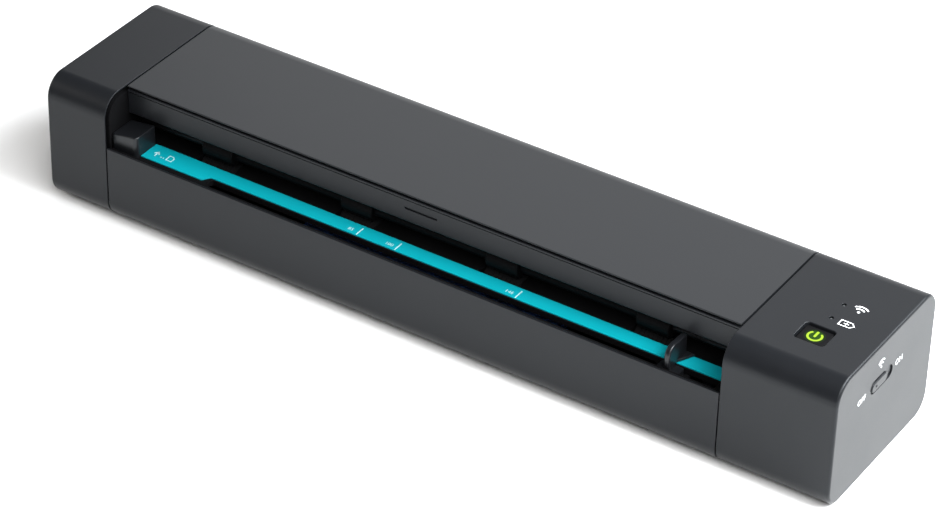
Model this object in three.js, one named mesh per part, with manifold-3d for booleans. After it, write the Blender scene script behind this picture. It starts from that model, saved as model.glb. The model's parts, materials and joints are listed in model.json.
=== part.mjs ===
// Portable sheet-fed document scanner, in millimetres.
// X runs along the machine, Y from its front to its rear, Z up. The origin is the middle of the footprint.
import * as THREE from 'three';
import { mergeVertices } from 'three/addons/utils/BufferGeometryUtils.js';
import Module from 'manifold-3d';

const wasm = await Module();
wasm.setup();

// Overall size of the shell
const bodyLength = 300;
const shellHeight = 47.3;
const footProud = 0.6;
const topRadius = 8;
const bottomRadius = 7.3;
const edgeRadius = 1;
const wall = 1.8;
const endWall = 2;
const leftCapLength = 24.8;
const rightCapLength = 40;

// Gaps and cuts
const fit = 0.3;
const closeFit = 0.15;
const runGap = 0.05;
const seamGap = 0.4;
const overrun = 1;
const mergeTolerance = 0.001;

// Round forms
const cornerSteps = 6;
const edgeSteps = 3;
const roundSides = 24;
const smallSides = 12;

// Paper mouth, paper table and rear slot
const paperHeight = 27;
const frontLipRise = 1.5;
const mouthDepth = 12;
const mouthHeight = 8.1;
const rearWallDrop = 3.6;
const rearSkirtRise = 3;
const tableThickness = 2;
const tableFlange = 1.1;
const tableFlangeDrop = 0.4;
const lipSkin = 0.8;
const rearRamp = { gap: 1, length: 4.2, lip: 0.8 };

// Rollers
const roller = { radius: 4.5, width: 14, shaft: 2, sleeve: 2.5, proud: 0.2, window: 0.5, exitGap: 0.9 };
const pinch = {
  radius: 4, width: 12, shaft: 1.5, sleeve: 2, nip: 0.3, frontGap: 0.8, headroom: 0.45, ear: 2.5,
};

// Band across the front of the opening top
const band = {
  thickness: 1.6, setBack: 0.2, gripWidth: 12.5, gripHeight: 0.8, gripDepth: 0.5, gripDrop: 5.6,
};

// Image sensors
const sensor = {
  width: 9.5, height: 9.5, overhang: 2.8, glass: 1, glassInset: 0.2, chamfer: 1.5, sunk: 0.1, windowGap: 0.3,
  bridge: 0.6, offset: 1.5,
};

// Gears and motor
const gear = {
  width: 3.5, planeGap: 3.2, stepGap: 1, floorGap: 0.6, studRadius: 1.5, hubRadius: 3,
  feedTeeth: 22, idlerTeeth: 31, exitTeeth: 22, pinionTeeth: 12, smallTeeth: 12, largeTeeth: 27,
  addendumShare: 5 / 6, dedendumShare: 1.25, rootShare: 0.7, middleShare: 0.43, tipShare: 0.17,
};
const motor = {
  radius: 10, height: 15, length: 25, bossRadius: 3, bossLength: 1.8, shaftRadius: 1, capLength: 3,
  rearRoom: 13.05,
};

// Heights
const floorZ = footProud;
const topZ = floorZ + shellHeight;
const insideFloorZ = floorZ + wall;
const underTopZ = topZ - wall;
const paperZ = floorZ + paperHeight;
const lipZ = paperZ + frontLipRise;
const tableBottomZ = paperZ - tableThickness;
const bandBottomZ = lipZ + mouthHeight;
const rearWallTopZ = paperZ - rearWallDrop;
const skirtBottomZ = paperZ + rearSkirtRise;
const rollerZ = paperZ + roller.proud - roller.radius;
const pinchZ = paperZ + roller.proud + pinch.nip + pinch.radius;
const motorZ = insideFloorZ + fit + motor.height / 2;

// Stations along the paper path, counted from the front of the body
const feedDepth = mouthDepth + band.setBack + band.thickness + pinch.frontGap + pinch.radius;
const lowerSensorDepth = feedDepth + roller.radius + roller.window + sensor.bridge + sensor.windowGap;
const upperSensorDepth = lowerSensorDepth + sensor.width + sensor.offset;
const exitDepth = upperSensorDepth + sensor.width + roller.exitGap + roller.radius;

// Gear train: the idler reaches from the feed shaft to the exit shaft, which sets the size of the teeth.
// The reduction gear stands just above the floor, the motor behind it, and the body closes behind the motor.
const toothModule = (exitDepth - feedDepth) / (gear.feedTeeth + gear.idlerTeeth);
const meshDistance = (a, b) => (a + b) * toothModule / 2;
const largeTipRadius = (gear.largeTeeth / 2 + gear.addendumShare) * toothModule;
const reductionZ = insideFloorZ + gear.floorGap + largeTipRadius;
const reductionReach = meshDistance(gear.idlerTeeth, gear.smallTeeth);
const idlerDepth = (feedDepth + exitDepth) / 2;
const reductionDepth = idlerDepth + Math.sqrt(reductionReach ** 2 - (rollerZ - reductionZ) ** 2);
const motorReach = meshDistance(gear.largeTeeth, gear.pinionTeeth);
const motorDepth = reductionDepth + Math.sqrt(motorReach ** 2 - (reductionZ - motorZ) ** 2);
const bodyDepth = motorDepth + motor.rearRoom;

// Places that follow from the sizes above
const halfLength = bodyLength / 2;
const halfDepth = bodyDepth / 2;
const leftSeam = -halfLength + leftCapLength;
const rightSeam = halfLength - rightCapLength;
const bandY = -halfDepth + mouthDepth;

// Side frames
const frame = { thickness: 2.4 };
const leftFrameOuterX = leftSeam - frame.thickness;
const rightFrameOuterX = rightSeam + frame.thickness;

// Paper sizes that set the guides and the strip
const guide = {
  width: 10.3, front: 2.9, depth: 10.4, height: 7.9, slope: 1.5, corner: 1.6, softCorner: 0.2,
  widestPaper: 216, restPaper: 203.6,
};
const guideFaceX = leftSeam + fit + guide.width;
const guideFrontY = -halfDepth + guide.front;
const restFaceX = guideFaceX + guide.restPaper;

// Size strip
const strip = { thickness: 0.4, rearGap: 1.3, width: 8.6, narrowWidth: 5.8, stepAt: 27.4, stepLength: 2.8 };
const stripRearY = bandY + strip.rearGap;
const stripStepX = guideFaceX + strip.stepAt;

// Sliding guide and its slot in the table
const slider = {
  thickness: 2, front: 2.3, depth: 11, height: 8.7, corner: 3.5, rearDrop: 0.6, legLength: 8, legDepth: 4.2,
  slotDepth: 4.6, footReach: 3, footLength: 6.2, footThickness: 1,
  carriageLength: 12, carriageDepth: 5.4, carriageHeight: 5.3,
};
const slotFrontY = -halfDepth + wall + (slider.carriageDepth - slider.slotDepth) / 2 + fit;
const slotRearY = slotFrontY + slider.slotDepth;
const slotStartX = stripStepX + fit;
const slotEndX = guideFaceX + guide.widestPaper + slider.thickness / 2 + slider.legLength / 2 + fit;

// Places of the rollers along the shafts
const rollerPitch = 56;
const rollerPitchShares = [-1.5, -0.5, 0.5, 1.5];
const betweenRollersShares = [-1, 0, 1];
const paperMiddleX = guideFaceX + guide.widestPaper / 2;
const rollerPlaces = rollerPitchShares.map((share) => paperMiddleX + share * rollerPitch);
const betweenRollers = betweenRollersShares.map((share) => paperMiddleX + share * rollerPitch);

// Axes of the shafts
const bandRearY = bandY + band.setBack + band.thickness;
const frameSheet = 1.4;
const feedY = -halfDepth + feedDepth;
const exitY = -halfDepth + exitDepth;
const idlerY = -halfDepth + idlerDepth;

// Places of the image sensors, and the white backings
const sensorStartX = guideFaceX - sensor.overhang;
const sensorEndX = guideFaceX + guide.widestPaper + sensor.overhang;
const lowerSensorY = -halfDepth + lowerSensorDepth;
const upperSensorY = -halfDepth + upperSensorDepth;
const backing = { thickness: 0.8, upperThickness: 0.6, margin: 0.4, pathGap: 0.8 };

// Hinge and end plates of the opening top
const endPlate = { thickness: 2, chamfer: 4, stopLength: 6, stopGap: 3 };
const hinge = { rearInset: 6.3, drop: 9.2, pinRadius: 2 };
const hingeY = halfDepth - hinge.rearInset;
const hingeZ = topZ - hinge.drop;

// Joins and cuts of solids
function solidOf(geometry) {
  const loose = geometry.index ? geometry.toNonIndexed() : geometry;
  const bare = new THREE.BufferGeometry();
  bare.setAttribute('position', loose.getAttribute('position'));
  const merged = mergeVertices(bare, mergeTolerance);
  const vertProperties = merged.getAttribute('position').array;
  const triVerts = new Uint32Array(merged.index.array);
  return new wasm.Manifold(new wasm.Mesh({ numProp: 3, vertProperties, triVerts }));
}

function geometryOf(solid) {
  const mesh = solid.getMesh();
  const geometry = new THREE.BufferGeometry();
  geometry.setAttribute('position', new THREE.BufferAttribute(new Float32Array(mesh.vertProperties), 3));
  geometry.setIndex(new THREE.BufferAttribute(new Uint32Array(mesh.triVerts), 1));
  const faceted = geometry.toNonIndexed();
  faceted.computeVertexNormals();
  return faceted;
}

const join = (...solids) => solids.reduce((whole, next) => whole.add(next));
const cut = (whole, ...tools) => tools.reduce((rest, tool) => rest.subtract(tool), whole);

// Plain solids, each given by where it starts and ends
function block(x, y, z) {
  const geometry = new THREE.BoxGeometry(x[1] - x[0], y[1] - y[0], z[1] - z[0]);
  geometry.translate((x[0] + x[1]) / 2, (y[0] + y[1]) / 2, (z[0] + z[1]) / 2);
  return solidOf(geometry);
}

const centred = (middle, size) => [middle - size / 2, middle + size / 2];

function prism(outline, from, to, right, up, out) {
  const shape = new THREE.Shape(outline.map(([a, b]) => new THREE.Vector2(a, b)));
  const geometry = new THREE.ExtrudeGeometry(shape, { depth: to - from, bevelEnabled: false });
  geometry.translate(0, 0, from);
  geometry.applyMatrix4(new THREE.Matrix4().makeBasis(right, up, out));
  return solidOf(geometry);
}

const alongX = new THREE.Vector3(1, 0, 0);
const alongY = new THREE.Vector3(0, 1, 0);
const alongZ = new THREE.Vector3(0, 0, 1);
const prismX = (outline, from, to) => prism(outline, from, to, alongY, alongZ, alongX);
const prismY = (outline, from, to) => prism(outline, -to, -from, alongX, alongZ, alongY.clone().negate());
const prismZ = (outline, from, to) => prism(outline, from, to, alongX, alongY, alongZ);

function circle(a, b, radius, sides = roundSides) {
  const points = [];
  for (let i = 0; i < sides; i += 1) {
    const turn = (2 * Math.PI * (i + 0.5)) / sides;
    points.push([a + radius * Math.cos(turn), b + radius * Math.sin(turn)]);
  }
  return points;
}

const rodX = (y, z, radius, from, to, sides) => prismX(circle(y, z, radius, sides), from, to);
const rodZ = (x, y, radius, from, to, sides) => prismZ(circle(x, y, radius, sides), from, to);

// A rectangle with round corners, given from its low left corner anticlockwise
function roundedRectangle(a, b, radii, steps = cornerSteps) {
  const corners = [[a[0], b[0], 1, 1], [a[1], b[0], -1, 1], [a[1], b[1], -1, -1], [a[0], b[1], 1, -1]];
  const points = [];
  corners.forEach(([cornerA, cornerB, towardsA, towardsB], i) => {
    const radius = radii[i];
    for (let step = 0; step <= steps; step += 1) {
      const turn = Math.PI * (1 + i / 2 + step / (2 * steps));
      const middleA = cornerA + towardsA * radius;
      const middleB = cornerB + towardsB * radius;
      points.push([middleA + radius * Math.cos(turn), middleB + radius * Math.sin(turn)]);
    }
  });
  return points;
}

const evenCorners = (radius) => [radius, radius, radius, radius];

// The cross-section of the shell, pulled in all round
function section(inset) {
  const y = [-halfDepth + inset, halfDepth - inset];
  const z = [floorZ + inset, topZ - inset];
  const low = bottomRadius - inset;
  const high = topRadius - inset;
  return roundedRectangle(y, z, [low, low, high, high]);
}

// A closed body through sections that all have the same number of points
function loft(stations) {
  const count = stations[0].outline.length;
  const positions = stations.flatMap(({ x, outline }) => outline.flatMap(([y, z]) => [x, y, z]));
  const index = [];
  for (let s = 0; s + 1 < stations.length; s += 1) {
    for (let i = 0; i < count; i += 1) {
      const a = s * count + i;
      const b = s * count + (i + 1) % count;
      index.push(a, b, b + count, a, b + count, a + count);
    }
  }
  const flat = stations[0].outline.map(([y, z]) => new THREE.Vector2(y, z));
  const last = (stations.length - 1) * count;
  THREE.ShapeUtils.triangulateShape(flat, []).forEach(([a, b, c]) => {
    index.push(a, c, b, last + a, last + b, last + c);
  });
  const geometry = new THREE.BufferGeometry();
  geometry.setAttribute('position', new THREE.Float32BufferAttribute(positions, 3));
  geometry.setIndex(index);
  return solidOf(geometry);
}

// Finishes
const finishes = {
  shell: { color: 0x36383a, roughness: 0.55, metalness: 0 },
  black: { color: 0x121213, roughness: 0.45, metalness: 0 },
  strip: { color: 0x00a6b8, roughness: 0.4, metalness: 0 },
  steel: { color: 0xa8abae, roughness: 0.3, metalness: 1 },
  rubber: { color: 0x1c1c1e, roughness: 0.9, metalness: 0 },
  gearPlastic: { color: 0xe2dfd2, roughness: 0.5, metalness: 0 },
  white: { color: 0xf2f2f0, roughness: 0.6, metalness: 0 },
  glass: { color: 0xb8c6cc, roughness: 0.05, metalness: 0 },
  board: { color: 0x1d5a35, roughness: 0.5, metalness: 0 },
  bronze: { color: 0x8a6f43, roughness: 0.5, metalness: 0.8 },
  light: { color: 0xcfe86a, roughness: 0.3, metalness: 0 },
  ribbon: { color: 0xdfe2e4, roughness: 0.5, metalness: 0 },
  cell: { color: 0x2c4a7c, roughness: 0.5, metalness: 0 },
};

function piece(name, solid, finish, place = [0, 0, 0]) {
  const mesh = new THREE.Mesh(geometryOf(solid), new THREE.MeshStandardMaterial(finishes[finish]));
  mesh.name = name;
  mesh.position.set(...place);
  return mesh;
}

function assembly(...members) {
  const group = new THREE.Group();
  group.add(...members);
  return group;
}

// Power button, status lights and slide switch, as places on the right cap
const button = {
  fromEnd: 19.4, y: -11.9, width: 9.8, depth: 8.6, corner: 1, sunk: 0.8, flange: 1, flangeThickness: 1,
  travel: 0.8,
};
const buttonX = halfLength - button.fromEnd;
const buttonZ = topZ - button.sunk;
const lights = { radius: 0.6, sunk: 0.4, bar: 1.2, places: [-1.6, 6.6] };
const modeSwitch = {
  y: -2.8, height: 32.8, slotLength: 14.2, slotHeight: 4.8, knobLength: 10.8, proud: 0.6, flange: 1.2,
  flangeThickness: 1, flangeHeight: 7, bodyDepth: 7, bodyHeight: 6,
};
const modeSwitchZ = floorZ + modeSwitch.height;
const modeSwitchTravel = modeSwitch.slotLength - modeSwitch.knobLength;
const modeKnobY = modeSwitch.y - modeSwitchTravel / 2;

// Main board and what it carries
const board = {
  height: 28.6, thickness: 1.6, margin: 1.6, postRadius: 2.5, postInset: 4.4, postFrontInset: 4.6,
  postRearInset: 14, peg: 1, pegRise: 0.6,
};
const boardZ = floorZ + board.height;
const boardTopZ = boardZ + board.thickness;
const boardX = [rightFrameOuterX + board.margin, halfLength - endWall - board.margin];
const boardY = [-halfDepth + wall + board.margin, halfDepth - wall - board.margin];
const boardPosts = [boardX[0] + board.postInset, boardX[1] - board.postInset].flatMap((x) => (
  [boardY[0] + board.postFrontInset, boardY[1] - board.postRearInset].map((y) => [x, y])
));
const usb = { fromEnd: 25, width: 8, depth: 6.4, height: 2.8, shellThickness: 0.4 };
const card = { fromEnd: 11, width: 11.6, depth: 12, height: 1.8, slot: 0.9 };
const usbX = centred(halfLength - usb.fromEnd, usb.width);
const cardX = centred(halfLength - card.fromEnd, card.width);

// End caps: open towards the middle, rounded at the outer end
function capShell(outerX, rimX) {
  const inwards = Math.sign(rimX - outerX);
  const stations = [];
  for (let step = 0; step <= edgeSteps; step += 1) {
    const turn = (Math.PI / 2) * (step / edgeSteps);
    const x = outerX + inwards * edgeRadius * (1 - Math.cos(turn));
    stations.push({ x, outline: section(edgeRadius * (1 - Math.sin(turn))) });
  }
  stations.push({ x: rimX, outline: section(0) });
  if (inwards < 0) stations.reverse();
  const hollow = [outerX + inwards * endWall, rimX + inwards * overrun].sort((a, b) => a - b);
  return cut(loft(stations), prismX(section(wall), ...hollow));
}

// Bosses with pegs that carry the side frames
const boss = { radius: 3, peg: 1, length: 9, fromWall: 2.4, frontInset: 20.3, rearInset: 14.3 };
const bossPlaces = [
  [-halfDepth + boss.frontInset, underTopZ - boss.fromWall],
  [-halfDepth + boss.frontInset, insideFloorZ + boss.fromWall],
  [halfDepth - boss.rearInset, underTopZ - boss.fromWall],
];

function capBosses(faceX, outwards) {
  const ends = [faceX, faceX + outwards * boss.length].sort((a, b) => a - b);
  const pegEnds = [faceX - outwards * frame.thickness, faceX + outwards * boss.length].sort((a, b) => a - b);
  return bossPlaces.flatMap(([y, z]) => [
    rodX(y, z, boss.radius, ...ends, smallSides),
    rodX(y, z, boss.peg, ...pegEnds, smallSides),
  ]);
}

const foot = { radius: 5, thickness: 1.4, insetX: 12, insetY: 12.3 };
const footPlaces = [-halfLength + foot.insetX, halfLength - foot.insetX].flatMap((x) => (
  [-halfDepth + foot.insetY, halfDepth - foot.insetY].map((y) => [x, y])
));
const footTopZ = foot.thickness;
const footWells = footPlaces.map(([x, y]) => rodZ(x, y, foot.radius + fit, 0, footTopZ));

const leftCapSolid = cut(
  join(
    capShell(-halfLength, leftSeam - seamGap),
    ...capBosses(leftFrameOuterX, -1),
  ),
  ...footWells,
);

function buttonWell(gap) {
  const x = centred(buttonX, button.width + 2 * gap);
  const y = centred(button.y, button.depth + 2 * gap);
  return roundedRectangle(x, y, evenCorners(button.corner + gap), edgeSteps);
}

const slotRound = modeSwitch.slotHeight / 2;
const switchSlot = roundedRectangle(
  centred(modeSwitch.y, modeSwitch.slotLength),
  centred(modeSwitchZ, modeSwitch.slotHeight),
  evenCorners(slotRound - closeFit),
);

const rightCapSolid = cut(
  join(
    capShell(halfLength, rightSeam + seamGap),
    ...capBosses(rightFrameOuterX, 1),
    ...boardPosts.map(([x, y]) => rodZ(x, y, board.postRadius, floorZ + wall / 2, boardZ, smallSides)),
    ...boardPosts.map(([x, y]) => (
      rodZ(x, y, board.peg, boardZ - overrun, boardTopZ + board.pegRise, smallSides)
    )),
  ),
  ...footWells,
  prismZ(buttonWell(fit), underTopZ - overrun, topZ + overrun),
  ...lights.places.map((y) => (
    rodZ(buttonX, y, lights.radius + closeFit, underTopZ - overrun, topZ + overrun)
  )),
  prismX(switchSlot, halfLength - endWall - overrun, halfLength + overrun),
  block([usbX[0] - fit, usbX[1] + fit], [halfDepth - 2 * wall, halfDepth + overrun],
    [boardTopZ - fit, boardTopZ + usb.height + fit]),
  block([cardX[0] - fit, cardX[1] + fit], [halfDepth - 2 * wall, halfDepth + overrun],
    [boardTopZ - fit, boardTopZ + card.height + fit]),
);

// Middle housing: a trough with posts that carry the paper table
const post = { radius: 2.2, rearRadius: 1.7, frontGap: 1.2, rearGap: 1, innerReach: 62, outerReach: 107.6 };
const frontReaches = [-post.outerReach, -post.innerReach, post.innerReach, post.outerReach];
const frontPostY = -halfDepth + wall + fit + slider.carriageDepth + post.frontGap + post.radius;
const rearPostY = exitY + roller.sleeve + post.rearGap + post.rearRadius;
const postPlaces = [
  ...frontReaches.map((reach) => [paperMiddleX + reach, frontPostY, post.radius]),
  ...betweenRollers.map((x) => [x, rearPostY, post.rearRadius]),
];
const housingScrew = { head: 2.6, headHeight: 0.7, length: 16, shank: 0.9, well: 0.9 };
const screwPlaces = {
  left_front: [paperMiddleX - post.outerReach, frontPostY],
  right_front: [paperMiddleX + post.outerReach, frontPostY],
  left_rear: [betweenRollers[0], rearPostY],
  right_rear: [betweenRollers[2], rearPostY],
};
const screwSpots = Object.values(screwPlaces);

// Battery in the front of the trough
const battery = {
  length: 100, depth: 14.4, height: 14, corner: 3, coverThickness: 1, ledge: 5, frontGap: 0.5,
  screwHead: 2, screwHeadHeight: 0.6, screwLength: 6, bossRadius: 2.2,
};
const batteryX = centred(paperMiddleX, battery.length);
const batteryFrontY = -halfDepth + bottomRadius + battery.frontGap;
const batteryY = [batteryFrontY, batteryFrontY + battery.depth];
const batteryZ = [insideFloorZ + fit, insideFloorZ + fit + battery.height];
const batteryCoverX = [batteryX[0] - battery.ledge, batteryX[1] + battery.ledge];
const coverLedgeZ = floorZ + battery.coverThickness;
const batteryScrewX = batteryCoverX[1] - battery.ledge / 2;
const batteryScrewY = (batteryY[0] + batteryY[1]) / 2;

// Rests for the spring under the lower sensor
const rest = { width: 10, spring: 3, sheet: 0.4, bendReach: 2.5, shares: [0.12, 0.88] };
const lowerSensorTopZ = paperZ - sensor.sunk - sensor.glass;
const lowerSensorBottomZ = lowerSensorTopZ - sensor.height;
const restTopZ = lowerSensorBottomZ - rest.spring;
const restPlaces = rest.shares.map((share) => sensorStartX + share * (sensorEndX - sensorStartX));

const housingSolid = cut(
  join(
    cut(
      prismX(section(0), leftSeam, rightSeam),
      prismX(section(wall), leftSeam - overrun, rightSeam + overrun),
      block([leftSeam - overrun, rightSeam + overrun], [-halfDepth - overrun, 0], [lipZ, topZ + overrun]),
      block([leftSeam - overrun, rightSeam + overrun], [-overrun, halfDepth + overrun],
        [rearWallTopZ, topZ + overrun]),
      block([leftSeam - overrun, rightSeam + overrun], [-halfDepth + lipSkin, -halfDepth + wall + overrun],
        [tableBottomZ, lipZ + overrun]),
    ),
    ...postPlaces.map(([x, y, radius]) => rodZ(x, y, radius, floorZ + wall / 2, tableBottomZ, smallSides)),
    ...restPlaces.map((x) => (
      block(centred(x, rest.width), [lowerSensorY, lowerSensorY + sensor.width],
        [floorZ + wall / 2, restTopZ])
    )),
    rodZ(batteryScrewX, batteryScrewY, battery.bossRadius, floorZ + wall / 2,
      floorZ + battery.screwLength, smallSides),
  ),
  ...screwSpots.flatMap(([x, y]) => [
    rodZ(x, y, housingScrew.shank + closeFit, floorZ - overrun,
      floorZ + housingScrew.length + fit, smallSides),
    rodZ(x, y, housingScrew.head + closeFit, floorZ - overrun, floorZ + housingScrew.well),
  ]),
  block(batteryCoverX, [batteryY[0], batteryY[1]], [floorZ - overrun, coverLedgeZ]),
  block(batteryX, [batteryY[0], batteryY[1]], [floorZ - overrun, insideFloorZ + overrun]),
  rodZ(batteryScrewX, batteryScrewY, housingScrew.shank + closeFit, floorZ - overrun,
    floorZ + battery.screwLength + overrun, smallSides),
);

// Paper table: a black deck with a front flange, a rear ramp and windows
const frontFlangeY = -halfDepth + lipSkin + closeFit;
const rampTopY = rearPostY + post.rearRadius + rearRamp.gap;
const rampFootY = rampTopY + rearRamp.length;
const tableRearY = halfDepth - lipSkin;
const tableProfile = [
  [frontFlangeY, tableBottomZ],
  [rampTopY - tableThickness / 2, tableBottomZ],
  [rampFootY - tableThickness / 2, rearWallTopZ],
  [tableRearY, rearWallTopZ],
  [tableRearY, rearWallTopZ + rearRamp.lip],
  [rampFootY, rearWallTopZ + rearRamp.lip],
  [rampTopY, paperZ],
  [frontFlangeY + tableFlange, paperZ],
  [frontFlangeY + tableFlange, lipZ - tableFlangeDrop],
  [frontFlangeY, lipZ - tableFlangeDrop],
];

function rollerWindow(x, y, low, high) {
  const half = roller.radius + roller.window;
  return block(centred(x, roller.width + 2 * roller.window), [y - half, y + half], [low, high]);
}

const detector = { width: 5, depth: 2.2, height: 4, hole: 0.8 };
const detectorY = (feedY + roller.sleeve + lowerSensorY) / 2;
const throughTable = [rearWallTopZ - overrun, lipZ + overrun];
const upperBackingY = [upperSensorY, upperSensorY + sensor.width - backing.margin];

const tableSolid = cut(
  prismX(tableProfile, leftSeam, rightSeam),
  ...[feedY, exitY].flatMap((y) => [
    rodX(y, rollerZ, roller.sleeve + fit, leftSeam - overrun, rightSeam + overrun),
    ...rollerPlaces.map((x) => rollerWindow(x, y, ...throughTable)),
  ]),
  block([sensorStartX - sensor.windowGap, sensorEndX + sensor.windowGap],
    [lowerSensorY - sensor.windowGap, lowerSensorY + sensor.width + sensor.windowGap], throughTable),
  block([sensorStartX, sensorEndX], upperBackingY, [paperZ - backing.thickness, paperZ + overrun]),
  block([slotStartX, slotEndX], [slotFrontY, slotRearY], throughTable),
  rodZ(paperMiddleX, detectorY, detector.hole, ...throughTable, smallSides),
);

// Size strip: wide beside the fixed guide, narrower along the slot, with a soft step between
const stripWideY = stripRearY - strip.width;
const stripNarrowY = stripRearY - strip.narrowWidth;

function stripOutline() {
  const points = [
    [guideFaceX + closeFit, stripRearY],
    [guideFaceX + closeFit, stripWideY],
  ];
  for (let step = 0; step <= cornerSteps; step += 1) {
    const share = step / cornerSteps;
    const rise = (1 - Math.cos(Math.PI * share)) / 2;
    points.push([
      stripStepX - (1 - share) * strip.stepLength,
      stripWideY + rise * (stripNarrowY - stripWideY),
    ]);
  }
  points.push([rightSeam - fit, stripNarrowY], [rightSeam - fit, stripRearY]);
  return points;
}

// Fixed guide: a small block with a rounded front corner and a top that rises towards the paper
const guideX = [leftSeam + fit, guideFaceX];
const guideY = [guideFrontY, guideFrontY + guide.depth];
const fixedGuideSolid = prismZ(
  roundedRectangle(guideX, guideY, [guide.softCorner, guide.corner, guide.softCorner, guide.softCorner]),
  paperZ, lipZ + guide.height,
).intersect(prismY([
  [guideX[0] - overrun, paperZ],
  [guideX[1] + overrun, paperZ],
  [guideX[1] + overrun, paperZ + guide.height],
  [guideX[0] - overrun, paperZ + guide.height - guide.slope],
], guideY[0] - overrun, guideY[1] + overrun));

// Sliding guide: a thin blade with a rounded nose, a leg through the slot and a foot on the strip
const bladeFrontY = -halfDepth + slider.front;
const bladeRearY = bladeFrontY + slider.depth;
const bladeBottomZ = paperZ + strip.thickness + closeFit;
const bladeTopZ = paperZ + slider.height;
const bladeX = [restFaceX, restFaceX + slider.thickness];
const legY = centred(slotFrontY + slider.slotDepth / 2, slider.legDepth);
const carriageTopZ = tableBottomZ - fit;

function bladeOutline() {
  const points = [[bladeFrontY, bladeBottomZ]];
  for (let step = 0; step <= cornerSteps; step += 1) {
    const turn = Math.PI * (1 - step / (2 * cornerSteps));
    points.push([
      bladeFrontY + slider.corner + slider.corner * Math.cos(turn),
      bladeTopZ - slider.corner + slider.corner * Math.sin(turn),
    ]);
  }
  points.push([bladeRearY, bladeTopZ - slider.rearDrop], [bladeRearY, bladeBottomZ]);
  return points;
}

const footRearY = bladeRearY;
const footFrontY = footRearY - slider.footLength;
const slidingGuideSolid = join(
  prismX(bladeOutline(), ...bladeX),
  prismZ([[bladeX[0], footFrontY], [bladeX[1], footFrontY], [bladeX[1] + slider.footReach, footRearY],
    [bladeX[0], footRearY]], bladeBottomZ, bladeBottomZ + slider.footThickness),
  block(centred((bladeX[0] + bladeX[1]) / 2, slider.legLength), legY, [carriageTopZ, paperZ - closeFit]),
  block(bladeX, legY, [carriageTopZ, bladeBottomZ + slider.footThickness]),
);
const carriageY = centred(slotFrontY + slider.slotDepth / 2, slider.carriageDepth);
const carriageSolid = block(
  centred((bladeX[0] + bladeX[1]) / 2, slider.carriageLength),
  carriageY,
  [carriageTopZ - slider.carriageHeight, carriageTopZ],
);

// Image sensors: a long box with a chamfered back, and a flat glass over its face
function sensorBar(frontY, faceZ, up) {
  const y = [frontY, frontY + sensor.width];
  const backZ = faceZ + up * sensor.height;
  const bevelZ = backZ - up * sensor.chamfer;
  return prismX([
    [y[0], faceZ],
    [y[1], faceZ],
    [y[1], bevelZ],
    [y[1] - sensor.chamfer, backZ],
    [y[0] + sensor.chamfer, backZ],
    [y[0], bevelZ],
  ], sensorStartX, sensorEndX);
}

function glassPlate(startY, low) {
  return block([sensorStartX, sensorEndX],
    [startY + sensor.glassInset, startY + sensor.width - sensor.glassInset], [low, low + sensor.glass]);
}

// Gears: a trapezoid tooth outline round the gear's own axis
function gearOutline(teeth) {
  const pitchRadius = teeth * toothModule / 2;
  const root = pitchRadius - gear.dedendumShare * toothModule;
  const tip = pitchRadius + gear.addendumShare * toothModule;
  const pitch = (2 * Math.PI) / teeth;
  const points = [];
  for (let i = 0; i < teeth; i += 1) {
    const middle = i * pitch;
    const profile = [[-gear.rootShare, root], [-gear.middleShare, pitchRadius], [-gear.tipShare, tip],
      [gear.tipShare, tip], [gear.middleShare, pitchRadius], [gear.rootShare, root]];
    profile.forEach(([share, radius]) => {
      const turn = middle + (share * pitch) / 2;
      points.push([radius * Math.cos(turn), radius * Math.sin(turn)]);
    });
  }
  return points;
}

// The turn that puts a gear's gap on the tooth of the gear that it meets
function meshTurn(turn, from, to, fromTeeth, toTeeth) {
  const heading = Math.atan2(to[1] - from[1], to[0] - from[0]);
  return heading + Math.PI + Math.PI / toTeeth - ((turn - heading) * fromTeeth) / toTeeth;
}

// Axes of the gear train
const motorY = -halfDepth + motorDepth;
const feedAxis = [feedY, rollerZ];
const idlerAxis = [idlerY, rollerZ];
const exitAxis = [exitY, rollerZ];
const reductionAxis = [-halfDepth + reductionDepth, reductionZ];
const motorAxis = [motorY, motorZ];

const idlerTurn = meshTurn(0, feedAxis, idlerAxis, gear.feedTeeth, gear.idlerTeeth);
const exitTurn = meshTurn(idlerTurn, idlerAxis, exitAxis, gear.idlerTeeth, gear.exitTeeth);
const reductionTurn = meshTurn(idlerTurn, idlerAxis, reductionAxis, gear.idlerTeeth, gear.smallTeeth);
const pinionTurn = meshTurn(reductionTurn, reductionAxis, motorAxis, gear.largeTeeth, gear.pinionTeeth);

const nearPlane = [leftFrameOuterX - gear.planeGap - gear.width, leftFrameOuterX - gear.planeGap];
const farPlane = [nearPlane[0] - gear.stepGap - gear.width, nearPlane[0] - gear.stepGap];
const studEndX = { idler: nearPlane[0] - fit, reduction: farPlane[0] - fit };

const gearRing = (teeth, bore) => cut(
  prismX(gearOutline(teeth), ...nearPlane),
  rodX(0, 0, bore, nearPlane[0] - overrun, nearPlane[1] + overrun),
);

// Side frames: a plate with a bearing collar for each shaft, a hinge pin and holes for the pegs
const collar = { wall: 1.6, length: 1 };
const bearingBore = roller.shaft + runGap;

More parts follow.
